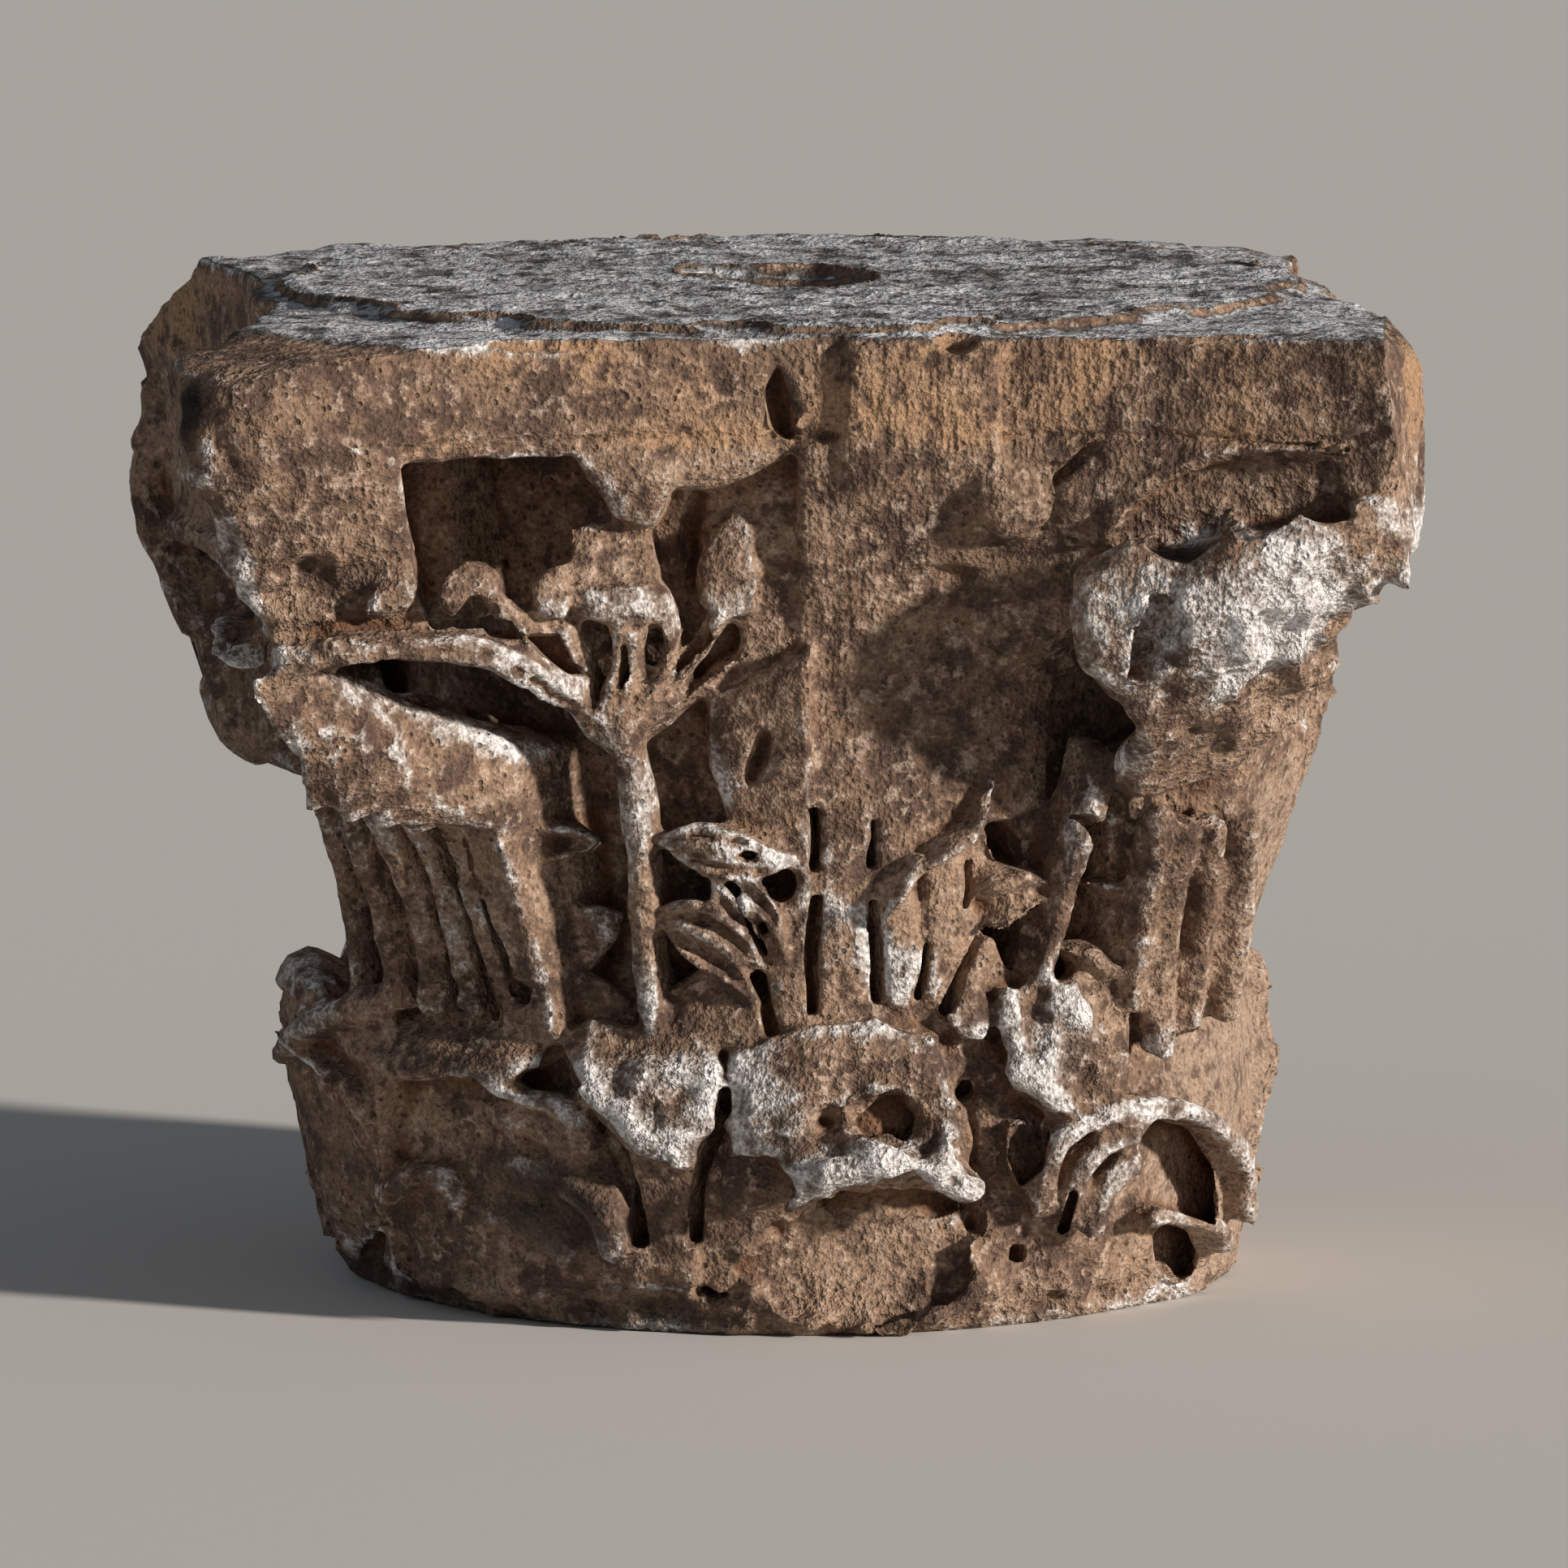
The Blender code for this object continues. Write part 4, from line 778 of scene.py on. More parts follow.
def fallen_leaf():
    """The corner leaf broken to one rough slanting slab, whose left edge stands clear of the panel."""
    parts = [mass(on_edge, outline) for outline in (
        ((1316, 700, 18), (1345, 684, 26), (1403, 660, 30), (1450, 652, 30), (1330, 740, 36),
         (1420, 760, 46), (1322, 806, 30), (1366, 862, 24), (1404, 903, 14), (1450, 900, 0),
         (1460, 800, 30), (1340, 700, -30), (1346, 800, -20), (1404, 890, -30), (1450, 800, -40)),
        ((1440, 660, 26), (1495, 635, 26), (1515, 648, 32), (1560, 640, 32), (1560, 690, 48),
         (1500, 730, 50), (1430, 760, 46), (1540, 800, 30), (1480, 850, 16), (1440, 870, 4),
         (1440, 700, -60), (1560, 680, -60), (1540, 800, -60), (1440, 850, -60)),
        ((1540, 642, 30), (1612, 617, 22), (1694, 640, 6), (1745, 640, -6), (1766, 600, -14),
         (1762, 640, -16), (1722, 704, -22), (1690, 750, -30), (1620, 780, -10), (1550, 760, 30),
         (1560, 700, 46), (1640, 690, 16), (1600, 640, -80), (1720, 640, -80), (1640, 760, -80)),
        ((1450, 860, 4), (1540, 790, 28), (1630, 770, -12), (1660, 790, -34), (1622, 850, -60),
         (1560, 930, -70), (1480, 965, -60), (1404, 985, -40), (1372, 975, -34), (1368, 920, -20),
         (1404, 900, 8), (1450, 860, -90), (1600, 820, -110), (1500, 950, -110), (1390, 950, -80)),
    )]
    parts += [hull([spot(*row) for row in rows]) for rows in (FALLEN_BODY, FALLEN_SHOULDER, FALLEN_STRIP)]
    for row, wide in (
        (((1430, 990, 78), (1408, 1100, 64), (1398, 1180, 56), (1388, 1240, 52)), 0.0085),
        (((1456, 1010, 84), (1438, 1110, 68), (1428, 1200, 60), (1425, 1300, 54)), 0.0095),
        (((1490, 1010, 88), (1480, 1110, 72), (1466, 1200, 62), (1458, 1270, 56)), 0.0095),
        (((1526, 1000, 86), (1520, 1110, 68), (1512, 1200, 60), (1506, 1250, 54)), 0.0110),
    ):
        parts.append(stroke(on_bell, row, wide, (0.014, 0.012), "round"))
    parts.append(stroke(on_edge, ((1486, 614, 8), (1505, 640, 26), (1520, 664, 40), (1538, 690, 44)),
                        (0.0030, 0.0045), 0.012, "arris"))
    parts.append(chunk(on_edge, (
        (1364, 664, -12), (1390, 606, -8), (1440, 566, -6), (1510, 550, -6), (1700, 556, -6),
        (1720, 640, -10), (1510, 690, -14), (1400, 690, -14),
    ), 0.070))
    parts.append(chunk(on_edge, (
        (1520, 680, -4), (1690, 680, -26), (1672, 780, -46), (1622, 850, -66), (1560, 900, -72),
        (1460, 900, -30), (1450, 800, 0),
    ), 0.090))
    parts.append(chunk(on_edge, (
        (1520, 735, 36), (1580, 725, 26), (1616, 765, 4), (1590, 815, -10), (1530, 810, 12),
    ), 0.060))
    return parts


def fallen_leaf_cuts():
    """The breaks and drillings in the fallen leaf."""
    return [
        stroke(on_edge, ((1450, 756, 50), (1432, 784, 46), (1420, 812, 40), (1412, 850, 30)),
               (0.0110, 0.0060), 0.030),
        mass(on_edge, (
            (1398, 674, 60), (1492, 638, 60), (1506, 662, 60), (1470, 708, 60), (1430, 696, 60),
            (1412, 666, -12), (1490, 630, -12), (1498, 652, -12), (1460, 672, -12),
        )),
        mass(on_edge, (
            (1512, 652, 60), (1606, 618, 50), (1566, 664, 60), (1536, 684, 60),
            (1520, 636, -10), (1600, 612, -10), (1550, 650, -10),
        )),
        lump(on_edge(1360, 730, 0.050), (0.018, 0.012, 0.010), 30.0, lean=-20.0),
        lump(on_edge(1480, 880, 0.014), (0.034, 0.012, 0.009), 30.0, lean=30.0),
        stroke(on_bell, ((1418, 1020, 92), (1424, 1060, 88), (1428, 1080, 82)), (0.0030, 0.0040), 0.018),
    ]


def back_left_volute():
    """The volutes of the back left corner, which the photograph shows from the side as bent lobes."""
    parts = []
    for outline, reach in (
        (((172, 548), (163, 580), (163, 604), (172, 640), (186, 684), (206, 724), (232, 780), (258, 812),
          (320, 800), (330, 548)), 0.040),
        (((252, 826), (252, 846), (260, 880), (278, 904), (300, 922), (340, 930), (360, 840)), 0.034),
        (((232, 770), (256, 812), (252, 840), (276, 900), (330, 936), (380, 960), (430, 900), (400, 760),
          (300, 740)), 0.052),
    ):
        parts.append(hull([on_corner(x, y, hand * reach) for hand in (-1, 1) for x, y in outline]))
    for points, wide in (
        (((186, 470, 30), (196, 500, 34), (196, 530, 34), (186, 545, 30)), 0.016),
        (((196, 556, 36), (186, 600, 40), (196, 650, 40), (216, 690, 36)), 0.020),
        (((214, 640, 36), (212, 690, 40), (230, 740, 40), (252, 772, 36)), 0.018),
        (((262, 836, 30), (272, 872, 34), (300, 902, 34), (328, 916, 30)), 0.016),
    ):
        parts.append(stroke(on_corner, points, (wide * 0.7, wide), (0.010, 0.014)))
    return parts


UNCUT_PANEL = (
    (0.300, 0.031), (0.400, 0.029), (0.500, 0.024), (0.600, 0.018), (0.700, 0.015), (0.770, 0.0185),
    (0.855, 0.0215), (UNDERSIDE_LEVEL + 0.01, 0.022),
)


def unfinished_half():
    """The right half of the front: the plain panel, the begun volute, and the stalk with its pockets."""
    parts = [
        hull([edge_spot(FRONT, *row) for row in (
            (0.080, 0.885, 0.001), (0.215, 0.885, 0.001), (0.240, 0.800, 0.004), (0.125, 0.790, 0.012),
            (0.080, 0.830, 0.008), (0.080, 0.885, 0.070), (0.215, 0.885, 0.100), (0.140, 0.640, 0.090),
            (0.070, 0.640, 0.046), (0.070, 0.640, 0.080), (0.140, 0.640, 0.120),
        )]),
        stroke(on_bell, ((1352, 915, 46), (1336, 975, 46), (1318, 1030, 44), (1300, 1090, 37),
                         (1284, 1150, 34), (1270, 1206, 34)), (0.0092, 0.0068), 0.018, "strap"),
        stroke(on_edge, ((1357, 668, -4), (1376, 628, -1), (1413, 592, 1), (1464, 565, 1),
                         (1541, 552, 1), (1660, 556, 0)), (0.0040, 0.0030), 0.006, "arris"),
        lump(on_edge(1246, 612, -0.006), (0.026, 0.014, 0.026), 14.0),
    ]
    for points, half_width in (
        (((1200, 1098, 32), (1228, 1088, 34), (1262, 1082, 34), (1288, 1090, 30)), 0.0120),
        (((1206, 1150, 32), (1232, 1132, 34), (1262, 1112, 34), (1288, 1092, 30)), 0.0100),
        (((1398, 1104, 52), (1376, 1098, 46), (1352, 1090, 40), (1326, 1086, 36)), 0.0075),
        (((1392, 1110, 50), (1382, 1130, 46), (1366, 1150, 40), (1352, 1166, 36)), 0.0070),
        (((1380, 1230, 40), (1364, 1200, 42), (1330, 1176, 40), (1296, 1168, 34)), 0.0120),
        (((1128, 1072, 30), (1160, 1050, 34), (1196, 1024, 34), (1226, 960, 34)), 0.0070),
        (((1086, 1130, 30), (1104, 1104, 33), (1120, 1076, 33), (1130, 1050, 32)), 0.0070),
    ):
        parts.append(blade(on_bell, points, half_width, 0.018, "arris"))
    for outline in (
        ((1092, 1110, 34), (1126, 1104, 34), (1130, 1180, 36), (1118, 1244, 36), (1098, 1240, 36),
         (1088, 1160, 34)),
        ((1140, 1080, 32), (1190, 1060, 34), (1200, 1130, 34), (1150, 1232, 36), (1136, 1220, 36),
         (1146, 1140, 34)),
        ((1200, 1150, 32), (1222, 1138, 32), (1228, 1180, 30), (1194, 1240, 36), (1164, 1240, 36)),
    ):
        parts.append(chunk(on_bell, outline, 0.024))
    return parts


def unfinished_half_cuts():
    """Slots beside the upright fillets, and the deep pockets round the stalk."""
    cuts = []
    for points, wide in (
        (((1003, 1252, 36), (1000, 1180, 34), (1008, 1104, 32)), 0.0042),
        (((1004, 1078, 30), (1006, 1040, 30), (1004, 996, 28)), 0.0044),
        (((1084, 1240, 36), (1082, 1180, 34), (1078, 1108, 32)), 0.0040),
        (((1076, 1076, 30), (1078, 1040, 30), (1080, 1008, 28)), 0.0040),
        (((1134, 1234, 36), (1138, 1200, 34), (1144, 1160, 34)), 0.0032),
        (((1166, 1250, 38), (1186, 1200, 34), (1216, 1140, 34)), 0.0032),
        (((1190, 1120, 36), (1196, 1090, 34), (1200, 1062, 34)), 0.0026),
    ):
        cuts.append(stroke(on_bell, points, wide, 0.024, steps=3))
    for outline in (
        ((1228, 1016, 46), (1284, 1010, 56), (1294, 1040, 56), (1284, 1078, 46), (1240, 1064, 40)),
        ((1338, 1000, 76), (1392, 1002, 90), (1400, 1050, 80), (1388, 1090, 66), (1346, 1052, 56)),
        ((1284, 1106, 44), (1274, 1170, 44), (1262, 1210, 44), (1226, 1148, 44)),
        ((1310, 1104, 50), (1326, 1100, 50), (1352, 1152, 52), (1296, 1158, 50)),
    ):
        rows = traced(on_bell, outline)
        middle = sum(rows, Vector()) / len(rows)
        floor = middle - Vector((middle.x, middle.y, 0)).normalized() * 0.050
        rows += [floor + (row - middle) * 0.55 for row in rows]
        cuts.append(hull(rows))
    cuts.append(mass(on_edge, (
        (1292, 598, 6), (1334, 546, 6), (1372, 536, 6), (1300, 604, 6),
        (1296, 590, -12), (1334, 552, -10), (1372, 538, -1), (1300, 600, -8),
    )))
    cuts.append(stroke(on_edge, ((1366, 537, 0), (1440, 538, 0), (1540, 544, 0), (1684, 554, 0)),
                       0.0016, 0.0030, "arris"))
    cuts.append(mass(on_edge, (
        (1372, 660, 24), (1392, 620, 24), (1430, 590, 24), (1500, 566, 24), (1660, 566, 24),
        (1680, 640, 24), (1372, 664, -10), (1400, 620, -10), (1440, 592, -10), (1505, 570, -10),
        (1640, 570, -8), (1660, 640, -12),
    )))
    cuts.append(stroke(on_edge, ((1300, 566, 4), (1308, 600, 4), (1302, 640, 0), (1280, 664, -6)),
                       0.0030, 0.010))
    return cuts


# The lower ring


def worn_middle():
    """The worn leaves under the middle of the front: a broken brow, a ridge, bulges and buds."""
    return [
        chunk(on_bell, (
            (960, 1290, 42), (1000, 1262, 44), (1080, 1256, 46), (1160, 1276, 44), (1172, 1340, 56),
            (1160, 1400, 62), (1190, 1440, 56), (1140, 1440, 66), (1080, 1430, 68), (1000, 1440, 68),
            (960, 1380, 62), (900, 1420, 56), (890, 1500, 42), (900, 1300, 46),
        ), 0.045),
        stroke(on_bell, ((968, 1466, 52), (1000, 1450, 64), (1041, 1440, 70), (1100, 1424, 72),
                         (1152, 1442, 68), (1200, 1466, 58)), (0.013, 0.009), 0.018, "round"),
        chunk(on_bell, (
            (684, 1280, 44), (730, 1254, 44), (800, 1262, 42), (882, 1300, 44), (892, 1350, 52),
            (872, 1420, 60), (846, 1446, 62), (784, 1424, 74), (716, 1348, 72),
        ), 0.045),
        chunk(on_bell, (
            (780, 1420, 50), (868, 1420, 48), (846, 1480, 42), (856, 1600, 40), (784, 1600, 40),
            (796, 1500, 42),
        ), 0.035),
        chunk(on_bell, (
            (1238, 1240, 44), (1262, 1206, 44), (1330, 1200, 48), (1384, 1240, 54), (1392, 1330, 64),
            (1350, 1376, 70), (1290, 1370, 70), (1244, 1340, 60),
        ), 0.045),
        chunk(on_bell, (
            (1166, 1232, 40), (1186, 1210, 38), (1212, 1216, 38), (1224, 1250, 42), (1214, 1284, 44),
            (1180, 1288, 44), (1166, 1260, 44),
        ), 0.024),
        chunk(on_bell, (
            (1230, 1214, 46), (1252, 1216, 50), (1262, 1256, 56), (1254, 1300, 56), (1234, 1290, 50),
        ), 0.024),
        chunk(on_bell, (
            (1236, 1380, 56), (1262, 1376, 58), (1276, 1420, 54), (1262, 1470, 48), (1240, 1440, 50),
        ), 0.020),
        chunk(on_bell, (
            (900, 1520, 36), (1000, 1536, 34), (1100, 1540, 36), (1190, 1520, 36), (1240, 1600, 40),
            (1100, 1640, 38), (940, 1630, 38),
        ), 0.020),
        chunk(on_bell, (
            (1298, 1210, 54), (1330, 1205, 56), (1350, 1262, 66), (1310, 1262, 66), (1284, 1240, 56),
        ), 0.020),
        stroke(on_bell, ((1158, 1392, 64), (1176, 1424, 62), (1204, 1462, 52)), (0.0085, 0.0040), 0.012,
               "arris"),
    ]


def worn_middle_cuts():
    """The eyes, hollows and slots in and under the worn leaves."""
    cuts = [
        lump(on_bell(1018, 1390, 0.066), (0.0115, 0.026, 0.0095), 0.0, lean=10.0),
        chunk(on_bell, (
            (1040, 1376, 90), (1066, 1352, 90), (1110, 1350, 90), (1134, 1372, 90),
            (1128, 1416, 90), (1100, 1402, 90), (1064, 1410, 90),
        ), 0.056),
        chunk(on_bell, (
            (996, 1492, 90), (1030, 1464, 90), (1100, 1458, 90), (1190, 1480, 90), (1196, 1600, 90),
            (1100, 1640, 90), (960, 1620, 90), (900, 1560, 90),
        ), 0.066),
        chunk(on_bell, (
            (1010, 1478, 90), (1060, 1460, 90), (1150, 1468, 90), (1186, 1486, 90),
            (1150, 1500, 90), (1040, 1502, 90),
        ), 0.078),
        chunk(on_bell, (
            (884, 1430, 80), (960, 1420, 80), (985, 1470, 80), (960, 1505, 80), (880, 1500, 80),
        ), 0.034),
        lump(on_bell(962, 1524, 0.034), (0.0090, 0.018, 0.0110), -8.0),
        lump(on_bell(1199, 1348, 0.040), (0.0065, 0.030, 0.0075), 16.0),
        chunk(on_bell, (
            (1176, 1296, 80), (1216, 1288, 80), (1228, 1330, 80), (1206, 1362, 80), (1178, 1345, 80),
        ), 0.044),
        chunk(on_bell, (
            (1246, 1384, 90), (1296, 1390, 90), (1288, 1440, 90), (1258, 1464, 90), (1240, 1430, 90),
        ), 0.052),
        chunk(on_bell, (
            (1164, 1404, 80), (1180, 1402, 80), (1204, 1440, 80), (1200, 1452, 80),
        ), 0.030),
    ]
    for points, wide in (
        (((744, 1400, 56), (766, 1430, 54), (780, 1470, 50), (787, 1538, 44)), (0.0030, 0.0052)),
        (((880, 1396, 56), (866, 1430, 52), (855, 1480, 48), (852, 1540, 44)), (0.0035, 0.0050)),
        (((890, 1344, 54), (892, 1362, 52), (884, 1380, 50)), (0.0045, 0.0035)),
        (((1218, 1378, 56), (1217, 1430, 52), (1218, 1480, 48), (1216, 1530, 44)), (0.0036, 0.0052)),
        (((850, 1596, 38), (880, 1600, 38), (900, 1606, 38)), (0.0060, 0.0040)),
        (((1258, 1548, 44), (1278, 1550, 44)), (0.0060, 0.0060)),
    ):
        cuts.append(stroke(on_bell, points, wide, 0.030, steps=3))
    return cuts


def left_lower_leaf():
    """The lower leaf at the front left: a broken shelf, a concave hollow, and bent lobes."""
    parts = [
        chunk(on_bell, (
            (430, 1240, 56), (500, 1228, 46), (600, 1240, 42), (672, 1268, 42), (684, 1310, 50),
            (628, 1326, 66), (560, 1330, 76), (490, 1328, 82), (430, 1300, 80),
        ), 0.060),
        chunk(on_bell, (
            (352, 1296, 74), (366, 1268, 76), (400, 1246, 74), (450, 1232, 66), (484, 1250, 66),
            (478, 1330, 70), (470, 1370, 60), (486, 1480, 50), (440, 1570, 42), (408, 1500, 56),
            (375, 1360, 72),
        ), 0.050),
        chunk(on_bell, (
            (470, 1330, 62), (640, 1330, 52), (740, 1400, 46), (790, 1540, 40), (780, 1600, 40),
            (620, 1600, 42), (480, 1580, 44),
        ), 0.040),
    ]
    for points, wide, deep in (
        (((356, 1300, 74), (380, 1268, 78), (430, 1244, 74), (478, 1232, 64)), 0.0110, 0.012),
        (((378, 1292, 74), (420, 1330, 76), (456, 1366, 68), (478, 1400, 56)), 0.0080, 0.012),
        (((480, 1330, 72), (482, 1390, 62), (480, 1450, 56), (470, 1510, 50)), 0.0045, 0.012),
        (((478, 1500, 48), (488, 1466, 56), (516, 1448, 60), (552, 1454, 56), (570, 1478, 46)),
         0.0110, 0.012),
        (((590, 1430, 38), (640, 1430, 43), (692, 1446, 49), (740, 1484, 50), (770, 1546, 44)),
         0.0130, 0.012),
        (((560, 1364, 51), (620, 1372, 50), (684, 1392, 49), (728, 1430, 46)), 0.0130, 0.010),
        (((530, 1530, 40), (590, 1500, 41), (660, 1504, 41), (712, 1548, 37)), 0.0140, 0.010),
        (((600, 1330, 60), (650, 1352, 58), (700, 1366, 56), (716, 1396, 50)), 0.0080, 0.012),
    ):
        parts.append(stroke(on_bell, points, (wide * 0.6, wide), deep, "round"))
    return parts


def left_lower_leaf_cuts():
    """The hollow under the shelf, and the eyes and grooves beside it."""
    return [
        lump(on_bell(548, 1384, 0.078), (0.036, 0.026, 0.021), -38.0, lean=10.0),
        lump(on_bell(520, 1480, 0.066), (0.014, 0.018, 0.012), -42.0),
        lump(on_bell(640, 1476, 0.062), (0.026, 0.016, 0.010), -30.0, lean=-18.0),
        stroke(on_bell, ((450, 1390, 78), (452, 1450, 70), (458, 1520, 60)), (0.0045, 0.0060), 0.020),
        stroke(on_bell, ((410, 1330, 82), (420, 1400, 76), (436, 1480, 66)), (0.0030, 0.0045), 0.016),
        chunk(on_bell, (
            (672, 1290, 90), (690, 1284, 90), (720, 1340, 90), (700, 1352, 90), (660, 1330, 90),
        ), 0.050),
        lump(on_bell(486, 1560, 0.050), (0.010, 0.016, 0.016), -44.0),
    ]


RIGHT_LEAF_ARCS = (
    (((1270, 1490, 40), (1284, 1430, 52), (1314, 1392, 60), (1370, 1368, 64), (1434, 1364, 62),
      (1486, 1384, 56), (1518, 1436, 50), (1522, 1500, 44)), 0.0072, 0.0068),
    (((1306, 1500, 44), (1318, 1450, 54), (1346, 1414, 60), (1388, 1392, 62), (1430, 1384, 60)),
     0.0060, 0.0060),
    (((1336, 1512, 48), (1350, 1470, 56), (1374, 1440, 60), (1396, 1430, 60)), 0.0085, 0.0080),
    (((1400, 1500, 50), (1440, 1494, 52), (1480, 1508, 50), (1500, 1540, 44)), 0.0070, 0.0060),
)


def right_lower_leaf():
    """The lower leaf at the front right, with its bent ribs one inside the other."""
    parts = [chunk(on_bell, (
        (1270, 1500, 36), (1290, 1420, 50), (1350, 1374, 56), (1434, 1364, 56), (1500, 1400, 50),
        (1530, 1480, 42), (1520, 1560, 36), (1460, 1600, 34), (1300, 1590, 34),
    ), 0.040)]
    for points, start, end in RIGHT_LEAF_ARCS:
        parts.append(stroke(on_bell, points, (start, end), 0.014, "strap"))
    return parts


def right_lower_leaf_cuts():
    """The two deep pockets and the slot between the bent ribs."""
    cuts = []
    for outline, depth in (
        (((1404, 1400, 80), (1424, 1380, 80), (1462, 1388, 80), (1494, 1440, 80), (1500, 1510, 80),
          (1470, 1496, 80), (1410, 1480, 80)), 0.056),
        (((1418, 1526, 70), (1436, 1510, 70), (1462, 1520, 70), (1476, 1556, 70), (1462, 1578, 70),
          (1424, 1566, 70)), 0.052),
        (((1300, 1520, 60), (1316, 1520, 60), (1330, 1470, 70), (1320, 1460, 70)), 0.030),
    ):
        cuts.append(chunk(on_bell, outline, depth))
    return cuts


def lower_leaf(azimuth, proud=1.0, top=0.335):
    """One leaf of the lower ring on a hidden side: a broad shield whose top bends out over its foot."""
    half = LEAF_HALF_WIDTH
    less = 0.036 * (1 - proud)
    out = 0.052 * proud - less
    parts = [limb([
        (spot(azimuth, 0.03, 0.006), half * 0.86, 0.018),
        (spot(azimuth, 0.14, 0.018 - less), half * 0.96, 0.024),
        (spot(azimuth, top - 0.12, 0.026 - less), half * 0.98, 0.030),
        (spot(azimuth, top - 0.06, out - 0.012), half * 0.86, 0.028),
        (spot(azimuth, top - 0.025, out), half * 0.62, 0.016),
        (spot(azimuth, top - 0.045, out + 0.012), half * 0.42, 0.010),
    ])]
    rows = [((0.0, 0.03, 0.036), (0.0, 0.15, 0.048), (0.0, 0.25, 0.064 * proud))]
    for hand in (-1, 1):
        rows += [
            ((hand * 3.5, 0.04, 0.034), (hand * 5.0, 0.17, 0.047), (hand * 10.5, 0.222, 0.052),
             (hand * 16.5, 0.190, 0.045), (hand * 19.0, 0.100, 0.034)),
            ((hand * 6.0, 0.02, 0.030), (hand * 9.0, 0.088, 0.042), (hand * 13.0, 0.086, 0.040),
             (hand * 15.0, 0.020, 0.028)),
            ((hand * 3.5, 0.18, 0.050), (hand * 7.0, 0.268, 0.058 * proud), (hand * 13.0, 0.285, 0.046)),
        ]
    for row in rows:
        points = [spot(azimuth + turn, level, rise - less) for turn, level, rise in row]
        parts.append(rib(points, 0.0068, 0.013, "arris"))
    return parts


def lower_leaf_cuts(azimuth):
    """The sunk eyes between the ribs, three on each hand."""
    cuts = []
    for hand in (-1, 1):
        for turn, level, wide, high, lean in (
            (11.0, 0.145, 0.013, 0.028, 16.0), (11.0, 0.040, 0.009, 0.014, 8.0),
            (9.5, 0.248, 0.012, 0.008, -10.0),
        ):
            place = spot(azimuth + hand * turn, level, 0.052)
            cuts.append(lump(place, (wide, 0.026, high), azimuth + hand * turn, lean=hand * lean, detail=2))
    return cuts


# Putting the block together


# The plan of the front left corner, where the abacus is whole
FRONT_LEFT_PLAN = (
    (-0.290, -0.352), (-0.335, -0.3650), (-0.362, -0.3715), (-0.3735, -0.360), (-0.3735, -0.290),
    (-0.250, -0.250),
)
# The lower leaves of the hidden sides, as (azimuth, share of the full projection, level of the top)
HIDDEN_LEAVES = (
    (92.0, 0.75, 0.315), (137.0, 1.0, 0.335), (182.0, 1.0, 0.335), (-133.0, 1.0, 0.335), (-88.0, 0.95, 0.325),
)
# Chips round the edge of the bearing bed, as (azimuth, half width)
BED_CHIPS = (
    (-62, 0.050), (-40, 0.034), (-12, 0.028), (14, 0.022), (40, 0.030), (70, 0.040),
    (100, 0.030), (130, 0.050), (160, 0.030), (-170, 0.040), (-140, 0.030), (-105, 0.046),
)


def rough_out():
    """The block before its leaves: bell, skirt, abacus, bed, bosses, volutes and uncut strips."""
    parts = [bell(), skirt(), abacus(), bearing_bed(), abacus_boss(FRONT, 0.043)]
    parts += [abacus_boss(side, 0.0) for side in (RIGHT, BACK, LEFT)]
    parts.append(volute_block(FRONT_LEFT, 0.057, 0.700, 0.095, 0.001, 0.019, 0.016))
    parts.append(hull([
        Vector((x, y, z)) for z in (ABACUS_UNDERSIDE - 0.010, ABACUS_TOP - 0.002) for x, y in FRONT_LEFT_PLAN
    ]))
    for corner, half_width, foot_level, lean_in, inset, sag in (
        (BACK_LEFT, 0.064, 0.700, 0.030, 0.003, 0.022),
        (BACK_RIGHT, 0.064, 0.700, 0.085, 0.003, 0.022),
        (FRONT_RIGHT, 0.085, 0.740, 0.030, 0.006, 0.042),
    ):
        parts.append(volute_block(corner, half_width, foot_level, lean_in, inset, sag))
    parts.append(sector(-4.7, 27.0, UNCUT_PANEL))
    parts.append(sector(-12.0, -4.0, ((0.505, 0.014), (0.60, 0.013), (0.70, 0.011), (0.80, 0.008)), 4))
    parts.append(sector(56.0, 94.7, UNCUT_PANEL))
    for side, proud in ((RIGHT, 0.026), (BACK, 0.026), (LEFT, 0.012)):
        parts.append(sector(side - 7.0, side + 7.0, (
            (0.300, proud), (0.55, 0.75 * proud), (0.80, 0.014), (UNDERSIDE_LEVEL + 0.01, 0.014),
        ), 6))
        parts.append(sector(side - 40.0, side + 40.0, ((0.280, 0.022), (0.42, 0.016), (0.54, 0.006)), 24))
    return parts


def bed_cuts():
    """The worn hollows and chipped edge of the bearing bed, and the dowel hole in its middle."""
    cuts = [
        lump(Vector((0.004, 0.006, HEIGHT + 0.004)), (0.050, 0.080, 0.024), 0.0),
        lump(Vector((-0.030, 0.040, HEIGHT + 0.003)), (0.034, 0.050, 0.016), 20.0),
    ]
    for azimuth, wide in BED_CHIPS:
        place = outward(azimuth) * (BED_RADIUS + 0.006) + Vector((0, 0, HEIGHT))
        cuts.append(lump(place, (wide, 0.022, 0.0075), azimuth, detail=2))
    above = HEIGHT + 0.02
    floor = HEIGHT - DOWEL_DEPTH
    cuts.append(turned([(0.0, above), (DOWEL_RADIUS * 1.35, above), (DOWEL_RADIUS, floor), (0.0, floor)], 24))
    return cuts


